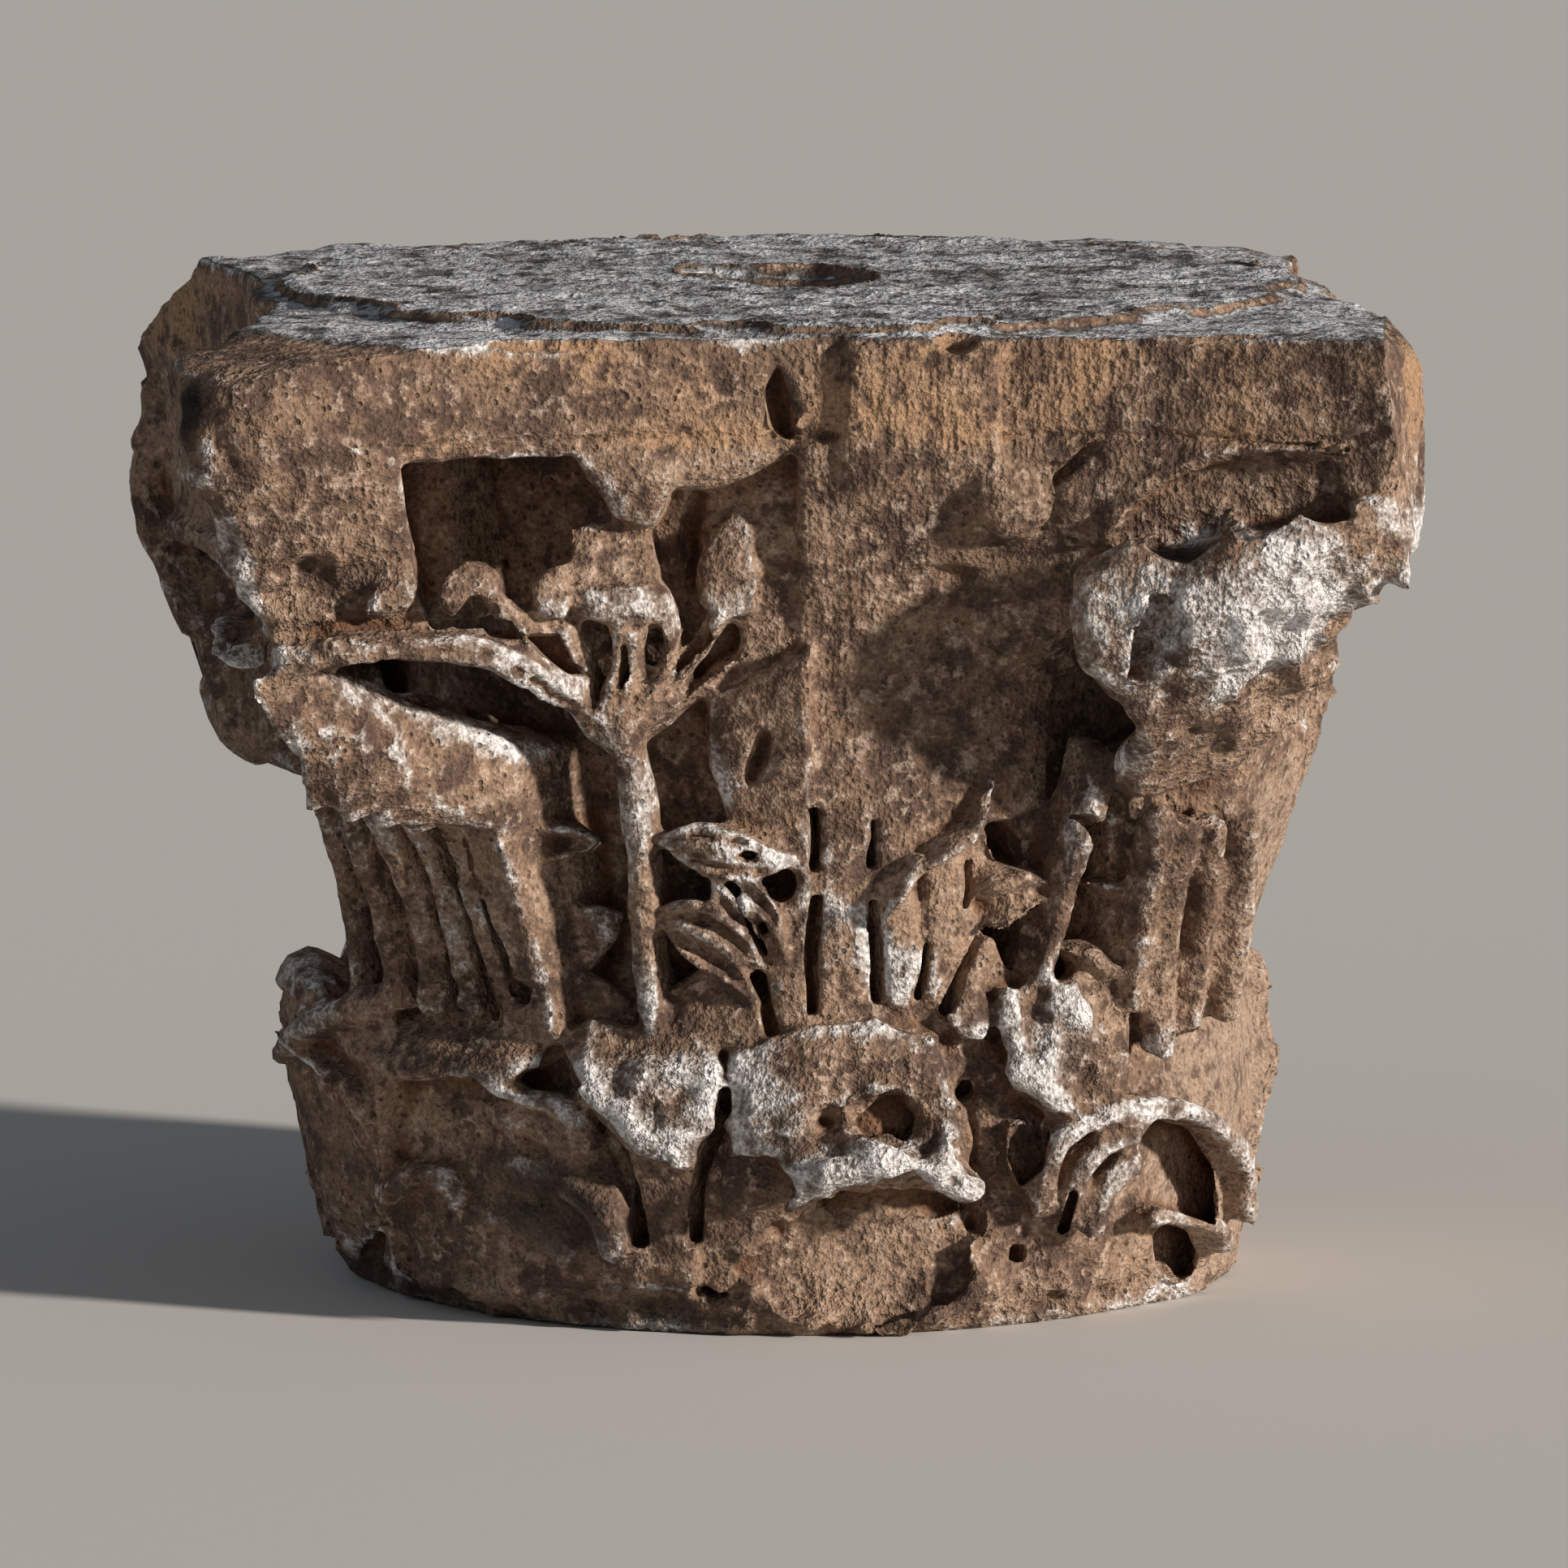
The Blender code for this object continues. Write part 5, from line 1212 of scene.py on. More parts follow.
def all_parts():
    """Every mass that the block is fused from, and every cut made in it."""
    upper, lower = fan() + strut_and_lobe(), stalk_and_leaflets()
    half_away = half_cuts()
    leaf, lobes = corner_leaf(), corner_lobes()
    corner_away = corner_half_cuts()
    parts = rough_out() + upper + lower + leaf + lobes
    cuts = half_away + corner_away
    for side in (RIGHT, BACK, LEFT):
        girth, lower_girth = (LEFT_UPPER_GIRTH, LEFT_LOWER_GIRTH) if side == LEFT else (1.0, 1.0)
        for mirror_at in (None, FRONT):
            # The fallen leaf takes the place of the right side's first half
            if side == RIGHT and mirror_at is None:
                continue
            parts += repeated(upper, side, mirror_at, girth) + repeated(lower, side, mirror_at, lower_girth)
            cuts += repeated(half_away, side, mirror_at, girth)
    for corner in FINISHED_CORNERS:
        girth = BACK_LEFT_GIRTH if corner == BACK_LEFT else 1.0
        parts += repeated(corner_masses(corner), 0.0, None, girth)
        turn = corner - FRONT_LEFT
        if turn != 0.0:
            parts += repeated(leaf + lobes, turn, None, girth)
            cuts += repeated(corner_away, turn, None, girth)
        parts += repeated(lobes, turn, FRONT_LEFT, girth)
    parts += fallen_leaf() + back_left_volute() + unfinished_half()
    parts += worn_middle() + left_lower_leaf() + right_lower_leaf()
    cuts += fallen_leaf_cuts() + unfinished_half_cuts() + worn_middle_cuts()
    cuts += left_lower_leaf_cuts() + right_lower_leaf_cuts()
    for azimuth, proud, top in HIDDEN_LEAVES:
        parts += lower_leaf(azimuth, proud, top)
        cuts += lower_leaf_cuts(azimuth)
    return parts, cuts + bed_cuts() + breaks()


def breaks():
    """What is lost: two corners of the abacus knocked off, two more rounded, and worn upper edges."""
    half = ABACUS_HALF_SIDE
    return [
        slice_off((0.299, -0.370, 0.540), (0.95, -0.31, 0.10)),
        slice_off((0.312, -0.300, ABACUS_TOP - 0.004), (0.62, -0.10, 0.78)),
        slice_off((0.333, -0.290, 0.470), (0.99, -0.10, -0.08), 0.30),
        slice_off((0.328, -0.250, 0.452), (0.77, -0.10, -0.64), 0.16),
        slice_off((half * 0.72, half * 0.72, ABACUS_TOP), (0.75, 0.66, 0.05)),
        slice_off((-half * 0.80, half * 0.80, ABACUS_TOP - 0.018), (-0.36, 0.36, 0.80)),
        slice_off((-half * 0.915, half * 0.915, ABACUS_TOP - 0.036), (-0.56, 0.56, 0.62)),
        slice_off((-half * 0.950, half * 0.950, ABACUS_TOP - 0.062), (-0.66, 0.66, 0.28)),
        slice_off((-half * 0.80, -half * 0.80, ABACUS_TOP - 0.003), (-0.10, -0.10, 1.0)),
        slice_off((-half * 0.955, -half * 0.93, ABACUS_TOP - 0.012), (-0.62, -0.52, 0.58)),
        slice_off((-half * 0.985, -half * 0.965, ABACUS_TOP - 0.040), (-0.80, -0.60, 0.10)),
        mass(on_edge, (
            (940, 470, 12), (966, 440, 12), (985, 545, 12), (950, 530, 12),
            (944, 480, -14), (960, 452, -14), (975, 540, -18), (955, 525, -14),
        )),
        lump(on_edge(1180, 416, 0.004), (0.013, 0.016, 0.011), 0.0, lean=10.0),
        lump(on_edge(1152, 406, 0.010), (0.020, 0.014, 0.006), 0.0),
        lump(on_edge(420, 418, 0.000), (0.060, 0.016, 0.006), -20.0, lean=-2.0),
        lump(on_edge(700, 424, 0.004), (0.050, 0.012, 0.006), 0.0),
        lump(on_edge(1450, 414, 0.004), (0.060, 0.012, 0.006), 10.0, lean=2.0),
        lump(on_edge(392, 672, 0.006), (0.010, 0.014, 0.016), -30.0),
        lump(on_edge(350, 610, 0.004), (0.006, 0.010, 0.014), -30.0, lean=10.0),
        lump(on_edge(430, 740, 0.004), (0.022, 0.012, 0.010), -30.0, lean=-20.0),
    ]


def join(shapes, name):
    """One object from several meshes, which are then removed."""
    work = bmesh.new()
    for shape in shapes:
        work.from_mesh(shape)
        bpy.data.meshes.remove(shape)
    mesh = bpy.data.meshes.new(name)
    work.to_mesh(mesh)
    work.free()
    item = bpy.data.objects.new(name, mesh)
    bpy.context.scene.collection.objects.link(item)
    return item


def bake(item):
    """Makes the object's modifiers final."""
    graph = bpy.context.evaluated_depsgraph_get()
    mesh = bpy.data.meshes.new_from_object(item.evaluated_get(graph))
    old = item.data
    item.modifiers.clear()
    item.data = mesh
    bpy.data.meshes.remove(old)
    return item


def fuse(item, grain):
    """Makes overlapping masses one skin of even grain."""
    skin = item.modifiers.new("one_skin", "REMESH")
    skin.mode = "VOXEL"
    skin.voxel_size = grain
    return bake(item)


def carve_away(item, cutter, name):
    """Takes the cutter's volume out of the item, and removes the cutter."""
    cut = item.modifiers.new(name, "BOOLEAN")
    cut.operation = "DIFFERENCE"
    cut.solver = "MANIFOLD"
    cut.object = cutter
    bake(item)
    bpy.data.objects.remove(cutter)
    return item


# Weathering, worked on the fine skin


def edge_ends(mesh):
    """The two points of each edge."""
    edges = np.empty(len(mesh.edges) * 2, np.int32)
    mesh.edges.foreach_get("vertices", edges)
    return edges.reshape(-1, 2)


def place_points(mesh, points):
    """Moves the skin's points."""
    mesh.vertices.foreach_set("co", points.astype(np.float32).ravel())
    mesh.update()


def skin_arrays(mesh):
    """Where the skin's points are, and which way each faces."""
    count = len(mesh.vertices)
    points = np.empty(count * 3, np.float32)
    mesh.vertices.foreach_get("co", points)
    facing = np.empty(count * 3, np.float32)
    mesh.vertex_normals.foreach_get("vector", facing)
    return points.reshape(-1, 3).astype(float), facing.reshape(-1, 3).astype(float)


def largest_skin(count, edges):
    """Which points belong to the biggest connected skin."""
    label = np.arange(count)
    while True:
        low = np.minimum(label[edges[:, 0]], label[edges[:, 1]])
        before = label.copy()
        np.minimum.at(label, edges[:, 0], low)
        np.minimum.at(label, edges[:, 1], low)
        label = label[label]
        label = label[label]
        if (before == label).all():
            break
    return label == np.bincount(label).argmax()


def keep_block(item):
    """Keeps the block's own skin, without chips cut loose or hollows shut up inside it."""
    mesh = item.data
    kept = largest_skin(len(mesh.vertices), edge_ends(mesh))
    work = bmesh.new()
    work.from_mesh(mesh)
    lost = [vert for vert, keep in zip(work.verts, kept) if not keep]
    bmesh.ops.delete(work, geom=lost, context="VERTS")
    work.to_mesh(mesh)
    work.free()
    return item


def spread(values, edges, passes):
    """Each point's value as the mean of its neighbours', so many times over."""
    count = len(values)
    first, second = edges[:, 0], edges[:, 1]
    near = np.maximum(np.bincount(first, minlength=count) + np.bincount(second, minlength=count), 1)
    columns = [values] if values.ndim == 1 else [values[:, axis] for axis in range(values.shape[1])]
    for _ in range(passes):
        columns = [
            (np.bincount(first, weights=column[second], minlength=count)
             + np.bincount(second, weights=column[first], minlength=count)) / near
            for column in columns
        ]
    return columns[0] if values.ndim == 1 else np.stack(columns, axis=1)


def unevenness(points, size, seed):
    """Smooth noise from -1 to 1 with lumps of that size in metres, the same on every run."""
    grid = points / size + np.array((0.31, 0.57, 0.83)) * (seed + 1) * 7.7
    cell = np.floor(grid).astype(np.int64)
    share = grid - cell
    share = share * share * (3 - 2 * share)
    total = np.zeros(len(points))
    for corner in range(8):
        offset = np.array((corner & 1, corner >> 1 & 1, corner >> 2 & 1))
        key = (cell + offset) * np.array((73856093, 19349663, 83492791))
        mixed = (key[:, 0] ^ key[:, 1] ^ key[:, 2]) + seed * 2654435761
        mixed = ((mixed & 0x7FFFFFFF) * 1103515245 + 12345) & 0x7FFFFFFF
        mixed = mixed ^ (mixed >> 13)
        weight = np.prod(np.where(offset == 1, share, 1 - share), axis=1)
        total += weight * ((mixed & 0xFFFF) / 32767.5 - 1)
    return total


def near(points, place, reach):
    """1 at that place, falling to 0 at that reach from it."""
    away = np.linalg.norm((points - np.array(place)) / np.array(reach), axis=1)
    return np.clip(1.4 * (1 - away), 0, 1)


def step_between(values, low, high):
    """0 below low, 1 above high, and an even rise between."""
    share = np.clip((values - low) / (high - low), 0, 1)
    return share * share * (3 - 2 * share)


# Zones on the stone as (strength, place, reach): where it is broken, where it is crusted, and where soot and
# painted shade darken it
BROKEN_ZONES = (
    (1.0, (0.245, -0.310, 0.400), (0.150, 0.130, 0.095)),
    (0.9, (-0.215, -0.235, 0.180), (0.075, 0.075, 0.034)),
    (1.0, (-0.100, -0.290, 0.155), (0.060, 0.060, 0.070)),
    (0.9, (0.040, -0.300, 0.120), (0.120, 0.060, 0.080)),
    (1.0, (0.155, -0.270, 0.170), (0.055, 0.070, 0.065)),
    (1.0, (-0.345, -0.340, 0.420), (0.070, 0.070, 0.060)),
    (0.4, (-0.270, -0.310, 0.345), (0.060, 0.060, 0.035)),
    (0.9, (-0.310, -0.345, 0.435), (0.100, 0.060, 0.060)),
    (1.0, (0.290, -0.095, 0.345), (0.110, 0.140, 0.090)),
    (0.6, (-0.350, -0.365, 0.530), (0.060, 0.050, 0.080)),
)
CRUST_ZONES = (
    (2.0, (0.190, -0.350, 0.425), (0.125, 0.090, 0.065)),
    (0.8, (0.318, -0.300, 0.462), (0.060, 0.100, 0.055)),
    (0.6, (0.325, -0.320, 0.540), (0.045, 0.060, 0.045)),
    (0.8, (0.165, -0.320, 0.370), (0.060, 0.060, 0.050)),
    (0.9, (-0.112, -0.300, 0.155), (0.085, 0.060, 0.065)),
    (0.7, (0.135, -0.285, 0.168), (0.070, 0.060, 0.060)),
    (0.7, (0.040, -0.305, 0.105), (0.110, 0.050, 0.030)),
    (0.4, (-0.040, -0.300, 0.150), (0.050, 0.050, 0.060)),
    (0.35, (-0.140, -0.330, 0.425), (0.150, 0.060, 0.032)),
    (0.3, (-0.240, -0.300, 0.360), (0.090, 0.080, 0.060)),
    (0.3, (0.220, -0.230, 0.110), (0.070, 0.060, 0.060)),
    (0.3, (-0.020, -0.280, 0.260), (0.090, 0.060, 0.080)),
    (1.0, (-0.030, -0.312, 0.576), (0.045, 0.022, 0.014)),
    (1.0, (0.130, -0.318, 0.577), (0.060, 0.022, 0.012)),
    (0.9, (-0.190, -0.330, 0.572), (0.070, 0.022, 0.012)),
)
# Soot: the first two zones are black weathering at the front left corner and on the top beside it; the third
# is painted shade in the hollows above the fallen leaf's crest; the fourth is painted shade with some dirt at
# the foot on the front left
SOOT_AND_SHADE_ZONES = (
    (0.8, (-0.372, -0.360, 0.552), (0.018, 0.030, 0.045)),
    (0.8, (-0.340, -0.310, 0.577), (0.070, 0.050, 0.010)),
    (0.8, (0.190, -0.335, 0.452), (0.070, 0.040, 0.016)),
    (0.55, (-0.165, -0.245, 0.070), (0.120, 0.090, 0.070)),
)
# How many times the skin is averaged: to melt a break, and to tell arrises and hollows from it
MELT_PASSES = 14
ARRIS_PASSES = 6
HOLLOW_PASSES = 60
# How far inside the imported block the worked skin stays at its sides
SIDE_GAP = 0.0008
# Below this height the underside is dressed flat
FOOT_BAND = 0.0012


def zoned(points, zones):
    """What each zone adds at each point."""
    return [strength * near(points, place, reach) for strength, place, reach in zones]


def broken_places(points):
    """From 0 to 1, how far the stone is broken at each point."""
    level = points[:, 2] / HEIGHT
    zones = zoned(points, BROKEN_ZONES)
    for corner in (FRONT_LEFT, BACK_LEFT, BACK_RIGHT):
        zones.append(0.4 * near(points, corner_spot(corner, 0.0, 0.60, 0.55), (0.09, 0.09, 0.06)))
    zones.append(0.9 * step_between(-level, -0.085, -0.02))
    zones.append(0.5 * step_between(points[:, 0], 0.300, 0.335) * (level > 0.70))
    return np.clip(np.maximum.reduce(zones), 0, 1)


def worn_rise(points, bulge, broken, flat_bed, sizes):
    """How far each point comes out, or goes in where it is less than 0."""
    wave = unevenness(points, 0.052, 1) * 0.0022 + unevenness(points, 0.023, 2) * 0.0015
    wave += unevenness(points, 0.0105, 3) * 0.0011
    torn = 0.0050 - np.abs(unevenness(points, 0.034, 4)) * 0.0150
    torn -= np.abs(unevenness(points, 0.017, 5)) * 0.0090
    torn += unevenness(points, 0.0085, 6) * 0.0026
    worn = np.clip(bulge, 0, None) * (0.55 + 0.75 * np.clip(unevenness(points, 0.017, 7), -0.6, 1))
    chip = np.clip(unevenness(points, 0.028, 8) - 0.25, 0, 1)
    chip = chip * step_between(bulge, 0.0006, 0.0016) * 0.0050
    rise = wave * (1 - flat_bed) * sizes.roughness
    rise += torn * broken * sizes.roughness
    rise -= worn * sizes.wear
    rise -= chip * sizes.wear * (1 - 0.5 * broken)
    dressed = -0.0022 * np.clip(unevenness(points, 0.060, 13), 0, 1)
    dressed -= 0.0026 * np.abs(unevenness(points, 0.020, 9))
    dressed -= 0.0016 * np.abs(unevenness(points, 0.0085, 10))
    return np.where(flat_bed > 0.5, dressed, rise)


def weather(item, sizes):
    """Wears the arrises, roughens the breaks, and stores where crust, rust, soot, tool marks, painted shade
    and the top's painted skylight lie.
    """
    mesh = item.data
    edges = edge_ends(mesh)
    points = skin_arrays(mesh)[0]
    points += (spread(points, edges, MELT_PASSES) - points) * broken_places(points)[:, None]
    place_points(mesh, points)
    points, facing = skin_arrays(mesh)
    soft = spread(points, edges, ARRIS_PASSES)
    bulge = np.einsum("ij,ij->i", points - soft, facing)
    relief = np.einsum("ij,ij->i", points - spread(soft, edges, HOLLOW_PASSES), facing)
    x, y, z = points.T
    level = z / HEIGHT
    azimuth = np.degrees(np.arctan2(x, -y))
    # Upward faces at the top: their pale bluish grey is partly the stone's own and partly painted cool
    # skylight
    bed = step_between(z, ABACUS_TOP - 0.004, ABACUS_TOP) * step_between(facing[:, 2], 0.5, 0.8)
    flat_bed = step_between(z, HEIGHT - 0.003, HEIGHT - 0.001) * (facing[:, 2] > 0.6)
    foot = step_between(-z, -0.006, 0.0)
    broken = broken_places(points)

    rise = worn_rise(points, bulge, broken, flat_bed, sizes) * (1 - 0.8 * foot)
    points = points + facing * rise[:, None]
    gap = np.array((SIDE_GAP, SIDE_GAP, 0.0))
    points = np.clip(points, np.array(BLOCK_LOW) + gap, np.array(BLOCK_HIGH) - gap)
    points[:, 2] = np.where(z < FOOT_BAND, 0.0, points[:, 2])
    place_points(mesh, points)

    patch = unevenness(points, 0.070, 11) * 0.6 + unevenness(points, 0.026, 12) * 0.4
    high_ground = step_between(relief + bulge * 1.5, 0.0000, 0.0050)
    # pocket marks the hollows: the rust-brown earth there is the stone's own, while the dark coat adds
    # painted shade with some dirt
    pocket = step_between(-relief, 0.0008, 0.0085)
    front_panel = step_between(azimuth, -5.5, -4.0) * step_between(-azimuth, -33.0, -29.0)
    front_panel *= step_between(level, 0.56, 0.62) * (y < 0)
    low_panel = 0.6 * step_between(level, 0.30, 0.36) * step_between(azimuth, -5, -4)
    low_panel = low_panel * step_between(-azimuth, -30, -20) * (y < 0)
    abacus_face = step_between(z, ABACUS_UNDERSIDE - 0.006, ABACUS_UNDERSIDE + 0.004) * (1 - bed)
    crust = high_ground * (0.55 + 0.55 * patch)
    for zone in zoned(points, CRUST_ZONES):
        crust += zone
    crust *= 1 - 0.65 * front_panel
    crust *= 1 - 0.75 * abacus_face * step_between(-bulge, -0.0010, 0.0)
    # Painted shade with some dirt: darker towards the foot on the front left
    lower_left_dirt_and_shade = 0.5 * step_between(-level, -0.10, -0.01) * step_between(-x, -0.12, 0.12)
    # A paler beige on the lower right side
    pale = step_between(azimuth, 30, 55) * step_between(-azimuth, -120, -90)
    for name, values in (
        ("crust", np.clip(crust, 0, 1)), ("pocket", pocket),
        ("soot_and_shade", np.maximum.reduce([lower_left_dirt_and_shade] + zoned(points, SOOT_AND_SHADE_ZONES))), ("bed", bed),
        ("tooled", np.clip(front_panel + low_panel, 0, 1)), ("broken", broken),
        ("pale", pale * step_between(-level, -0.62, -0.50)), ("abacus_face", abacus_face),
    ):
        layer = mesh.attributes.new(name, "FLOAT", "POINT")
        layer.data.foreach_set("value", values.astype(np.float32))
    hidden = item.vertex_groups.new(name="hidden")
    hidden.add(np.nonzero((y > 0.0) | (z < 0.002))[0].tolist(), 1.0, "REPLACE")
    mesh.update()
    return item


def thin_out(item, faces, front_share):
    """Brings the skin down to that many triangles, most of them left to the front."""
    front = sum(1 for face in item.data.polygons if face.center.y < 0.0)
    triangles = sum(len(face.vertices) - 2 for face in item.data.polygons)
    front_triangles = triangles * front / len(item.data.polygons)
    hidden_left = faces * (1 - front_share)
    for group, left in (("hidden", front_triangles + hidden_left), ("", faces)):
        fewer = item.modifiers.new("fewer_faces", "DECIMATE")
        fewer.vertex_group = group
        fewer.ratio = left / triangles
        fewer.use_collapse_triangulate = True
        bake(item)
        triangles = len(item.data.polygons)
    work = bmesh.new()
    work.from_mesh(item.data)
    flaps = [face for face in work.faces if sum(edge.is_boundary for edge in face.edges) > 1]
    bmesh.ops.delete(work, geom=flaps, context="FACES")
    bmesh.ops.recalc_face_normals(work, faces=work.faces)
    work.to_mesh(item.data)
    work.free()
    return item


# Materials


# Patterns of the stone as (name, size in mm, octaves, roughness)
PATTERNS = (
    ("broad", 80.0, 1.0, 0.5), ("cloud", 24.0, 3.0, 0.6), ("blot", 9.0, 3.0, 0.65), ("grain", 2.6, 1.0, 0.6),
)
# How far apart the pits and the chisel's strokes lie, in mm, and how drawn out a stroke is
PIT_SPACING_MM = 7.0
STROKE_SPACING_MM = 5.0
STROKE_SQUEEZE = 0.14
# What is read from the worked skin
LAYERS = ("crust", "pocket", "soot_and_shade", "bed", "tooled", "broken", "pale", "abacus_face")
# Coats of colour, each laid where a weighted sum of patterns and layers goes from low to high
COATS = (
    ("ochre", (("cloud", 1.0),), 0.40, 0.60, 1.00),
    ("tan", (("broad", 0.6), ("blot", 0.4)), 0.47, 0.60, 0.90),
    ("light_tan", (("blot", 1.0),), 0.53, 0.68, 0.70),
    ("orange", (("abacus_face", 1.0), ("broad", 1.0), ("blot", 0.5)), 1.70, 1.95, 0.75),
    # A paler beige on the lower right side
    ("beige", (("pale", 1.0), ("blot", 0.5)), 0.75, 1.25, 0.65),
    ("rust", (("pocket", 1.0), ("cloud", 0.6)), 0.50, 1.10, 0.85),
    # Painted shade with some dirt, darkening the deepest hollows
    ("dark", (("pocket", 1.0), ("blot", 0.3)), 0.75, 1.20, 0.75),
    ("brown", (("blot", -1.0), ("cloud", -0.7)), -0.80, -0.66, 0.75),
    ("crust_dark", (("crust", 1.0), ("blot", 1.0), ("cloud", 1.0)), 1.40, 1.85, 0.75),
    ("crust", (("crust", 0.9), ("blot", 1.4), ("cloud", 1.2), ("grain", 0.5)), 2.05, 2.60, 0.95),
    ("bed_dark", (("bed", 1.0), ("cloud", 0.4)), 0.70, 1.10, 0.90),
    # The top's grey stone, with painted cool skylight on its upward faces
    ("bed", (("bed", 1.0), ("blot", 0.4), ("cloud", 0.8), ("broad", 0.3)), 1.55, 1.90, 0.95),
    ("bed_dark", (("bed", 1.0), ("cloud", -1.0), ("blot", -0.8)), 0.12, 0.28, 0.70),
    # Soot, and painted shade where the soot layer marks the foot on the left and the hollows above the fallen
    # leaf's crest
    ("soot_and_shade", (("soot_and_shade", 1.0), ("blot", 0.6)), 0.60, 1.00, 0.90),
    # Painted shade with some dirt, darkening the pits
    ("dark", (("pits", 1.0),), 0.10, 1.00, 0.55),
)
# How far each pattern raises the stone, in mm
RELIEF_MM = (("cloud", 5.0), ("blot", 5.0), ("grain", 1.2), ("pits", -1.8), ("rough", 6.0), ("tooling", 2.4))


def weathered_marble(colours):
    """Weathered marble, point-chiselled and rain-worn: a granular matt stone with brown patina in clouds,
    a pale grey crust on what stands out, rust-brown earth in the hollows, and pits of 1 to 3 mm.
    Painted shade with some dirt darkens the deepest hollows and the pits, and the upward faces of the top
    take the stone's grey with painted cool skylight."""
    material = bpy.data.materials.new("weathered_marble_stone")
    material.use_nodes = True
    tree = material.node_tree
    tree.nodes.clear()
    place = add_node(tree, "ShaderNodeTexCoord").outputs["Object"]
    found = {}
    for name, size_mm, octaves, roughness in PATTERNS:
        found[name] = add_node(tree, "ShaderNodeTexNoise", inputs={
            "Vector": place, "Scale": 1000.0 / size_mm, "Detail": octaves, "Roughness": roughness,
        }).outputs["Fac"]
    for name in LAYERS:
        found[name] = add_node(tree, "ShaderNodeAttribute", {"attribute_name": name}).outputs["Fac"]

    # Pits of 1 to 3 mm, in clusters
    cells = add_node(tree, "ShaderNodeTexVoronoi", inputs={
        "Vector": place, "Scale": 1000.0 / PIT_SPACING_MM, "Randomness": 1.0,
    })
    holes = add_node(tree, "ShaderNodeMapRange", {"interpolation_type": "SMOOTHSTEP"}, {
        "Value": cells.outputs["Distance"], "From Min": 0.30, "From Max": 0.12,
    }).outputs["Result"]
    clusters = add_node(tree, "ShaderNodeMapRange", {"interpolation_type": "SMOOTHSTEP"}, {
        "Value": found["cloud"], "From Min": 0.46, "From Max": 0.60,
    }).outputs["Result"]

    # The chisel's upright strokes on the plain panel
    upright = add_node(tree, "ShaderNodeMapping", inputs={
        "Vector": place, "Scale": (1.0, 1.0, STROKE_SQUEEZE),
    }).outputs[0]
    strokes = add_node(tree, "ShaderNodeTexNoise", inputs={
        "Vector": upright, "Scale": 1000.0 / STROKE_SPACING_MM, "Detail": 1.0, "Roughness": 0.6,
    }).outputs["Fac"]
    for name, pattern, where in (
        ("pits", holes, clusters), ("tooling", strokes, found["tooled"]),
        ("rough", found["blot"], found["broken"]),
    ):
        found[name] = add_node(tree, "ShaderNodeMath", {"operation": "MULTIPLY"}, {
            0: pattern, 1: where,
        }).outputs[0]

    colour = add_node(tree, "ShaderNodeRGB")
    colour.outputs[0].default_value = (*colours.brown, 1.0)
    colour = colour.outputs[0]
    for name, terms, low, high, amount in COATS:
        total = 0.0
        for source, weight in terms:
            total = add_node(tree, "ShaderNodeMath", {"operation": "MULTIPLY_ADD"}, {
                0: found[source], 1: weight, 2: total,
            }).outputs[0]
        share = add_node(tree, "ShaderNodeMapRange", {"interpolation_type": "SMOOTHSTEP"}, {
            "Value": total, "From Min": low, "From Max": high, "To Max": amount,
        }).outputs["Result"]
        colour = add_node(tree, "ShaderNodeMix", {"data_type": "RGBA"}, {
            0: share, 6: colour, 7: (*getattr(colours, name), 1.0),
        }).outputs[2]
    tone = add_node(tree, "ShaderNodeMapRange", inputs={
        "Value": found["grain"], "From Min": 0.3, "From Max": 0.7, "To Min": 0.70, "To Max": 1.36,
    }).outputs["Result"]
    colour = add_node(tree, "ShaderNodeVectorMath", {"operation": "SCALE"}, {
        0: colour, "Scale": tone,
    }).outputs[0]

    height = 0.0
    for source, rise in RELIEF_MM:
        height = add_node(tree, "ShaderNodeMath", {"operation": "MULTIPLY_ADD"}, {
            0: found[source], 1: rise, 2: height,
        }).outputs[0]
    bump = add_node(tree, "ShaderNodeBump", inputs={"Strength": 1.0, "Distance": 0.001, "Height": height})
    shader = add_node(tree, "ShaderNodeBsdfPrincipled", inputs={
        "Base Color": colour, "Roughness": 0.88, "Metallic": 0.0, "IOR": 1.5, "Specular IOR Level": 0.35,
        "Normal": bump.outputs["Normal"],
    })
    add_node(tree, "ShaderNodeOutputMaterial", inputs={"Surface": shader.outputs["BSDF"]})
    return material


def matt_floor(colour):
    """Matt painted board: pale and even, with no gloss, so that it only catches the shadow."""
    material = bpy.data.materials.new("matt_painted_board")
    material.use_nodes = True
    shader = material.node_tree.nodes["Principled BSDF"]
    shader.inputs["Base Color"].default_value = (*colour, 1.0)
    shader.inputs["Roughness"].default_value = 0.95
    return material


# Settings, operators and panel


# A carving with fewer faces than this has gone wrong
LEAST_FACES = 1000
# The stage: how far the floor reaches, how far it lies under the foot, and the lamps and camera
FLOOR_REACH = 30.0
FLOOR_DROP = 0.0005
LAMP_DISTANCE = 4.0
SENSOR_MM = 36.0


def colour_setting(name, code, about):
    """A colour that a user can change, from its sRGB hex value."""
    return bpy.props.FloatVectorProperty(
        name=name, description=about, subtype="COLOR", size=3, min=0.0, max=1.0, default=linear(code),
    )


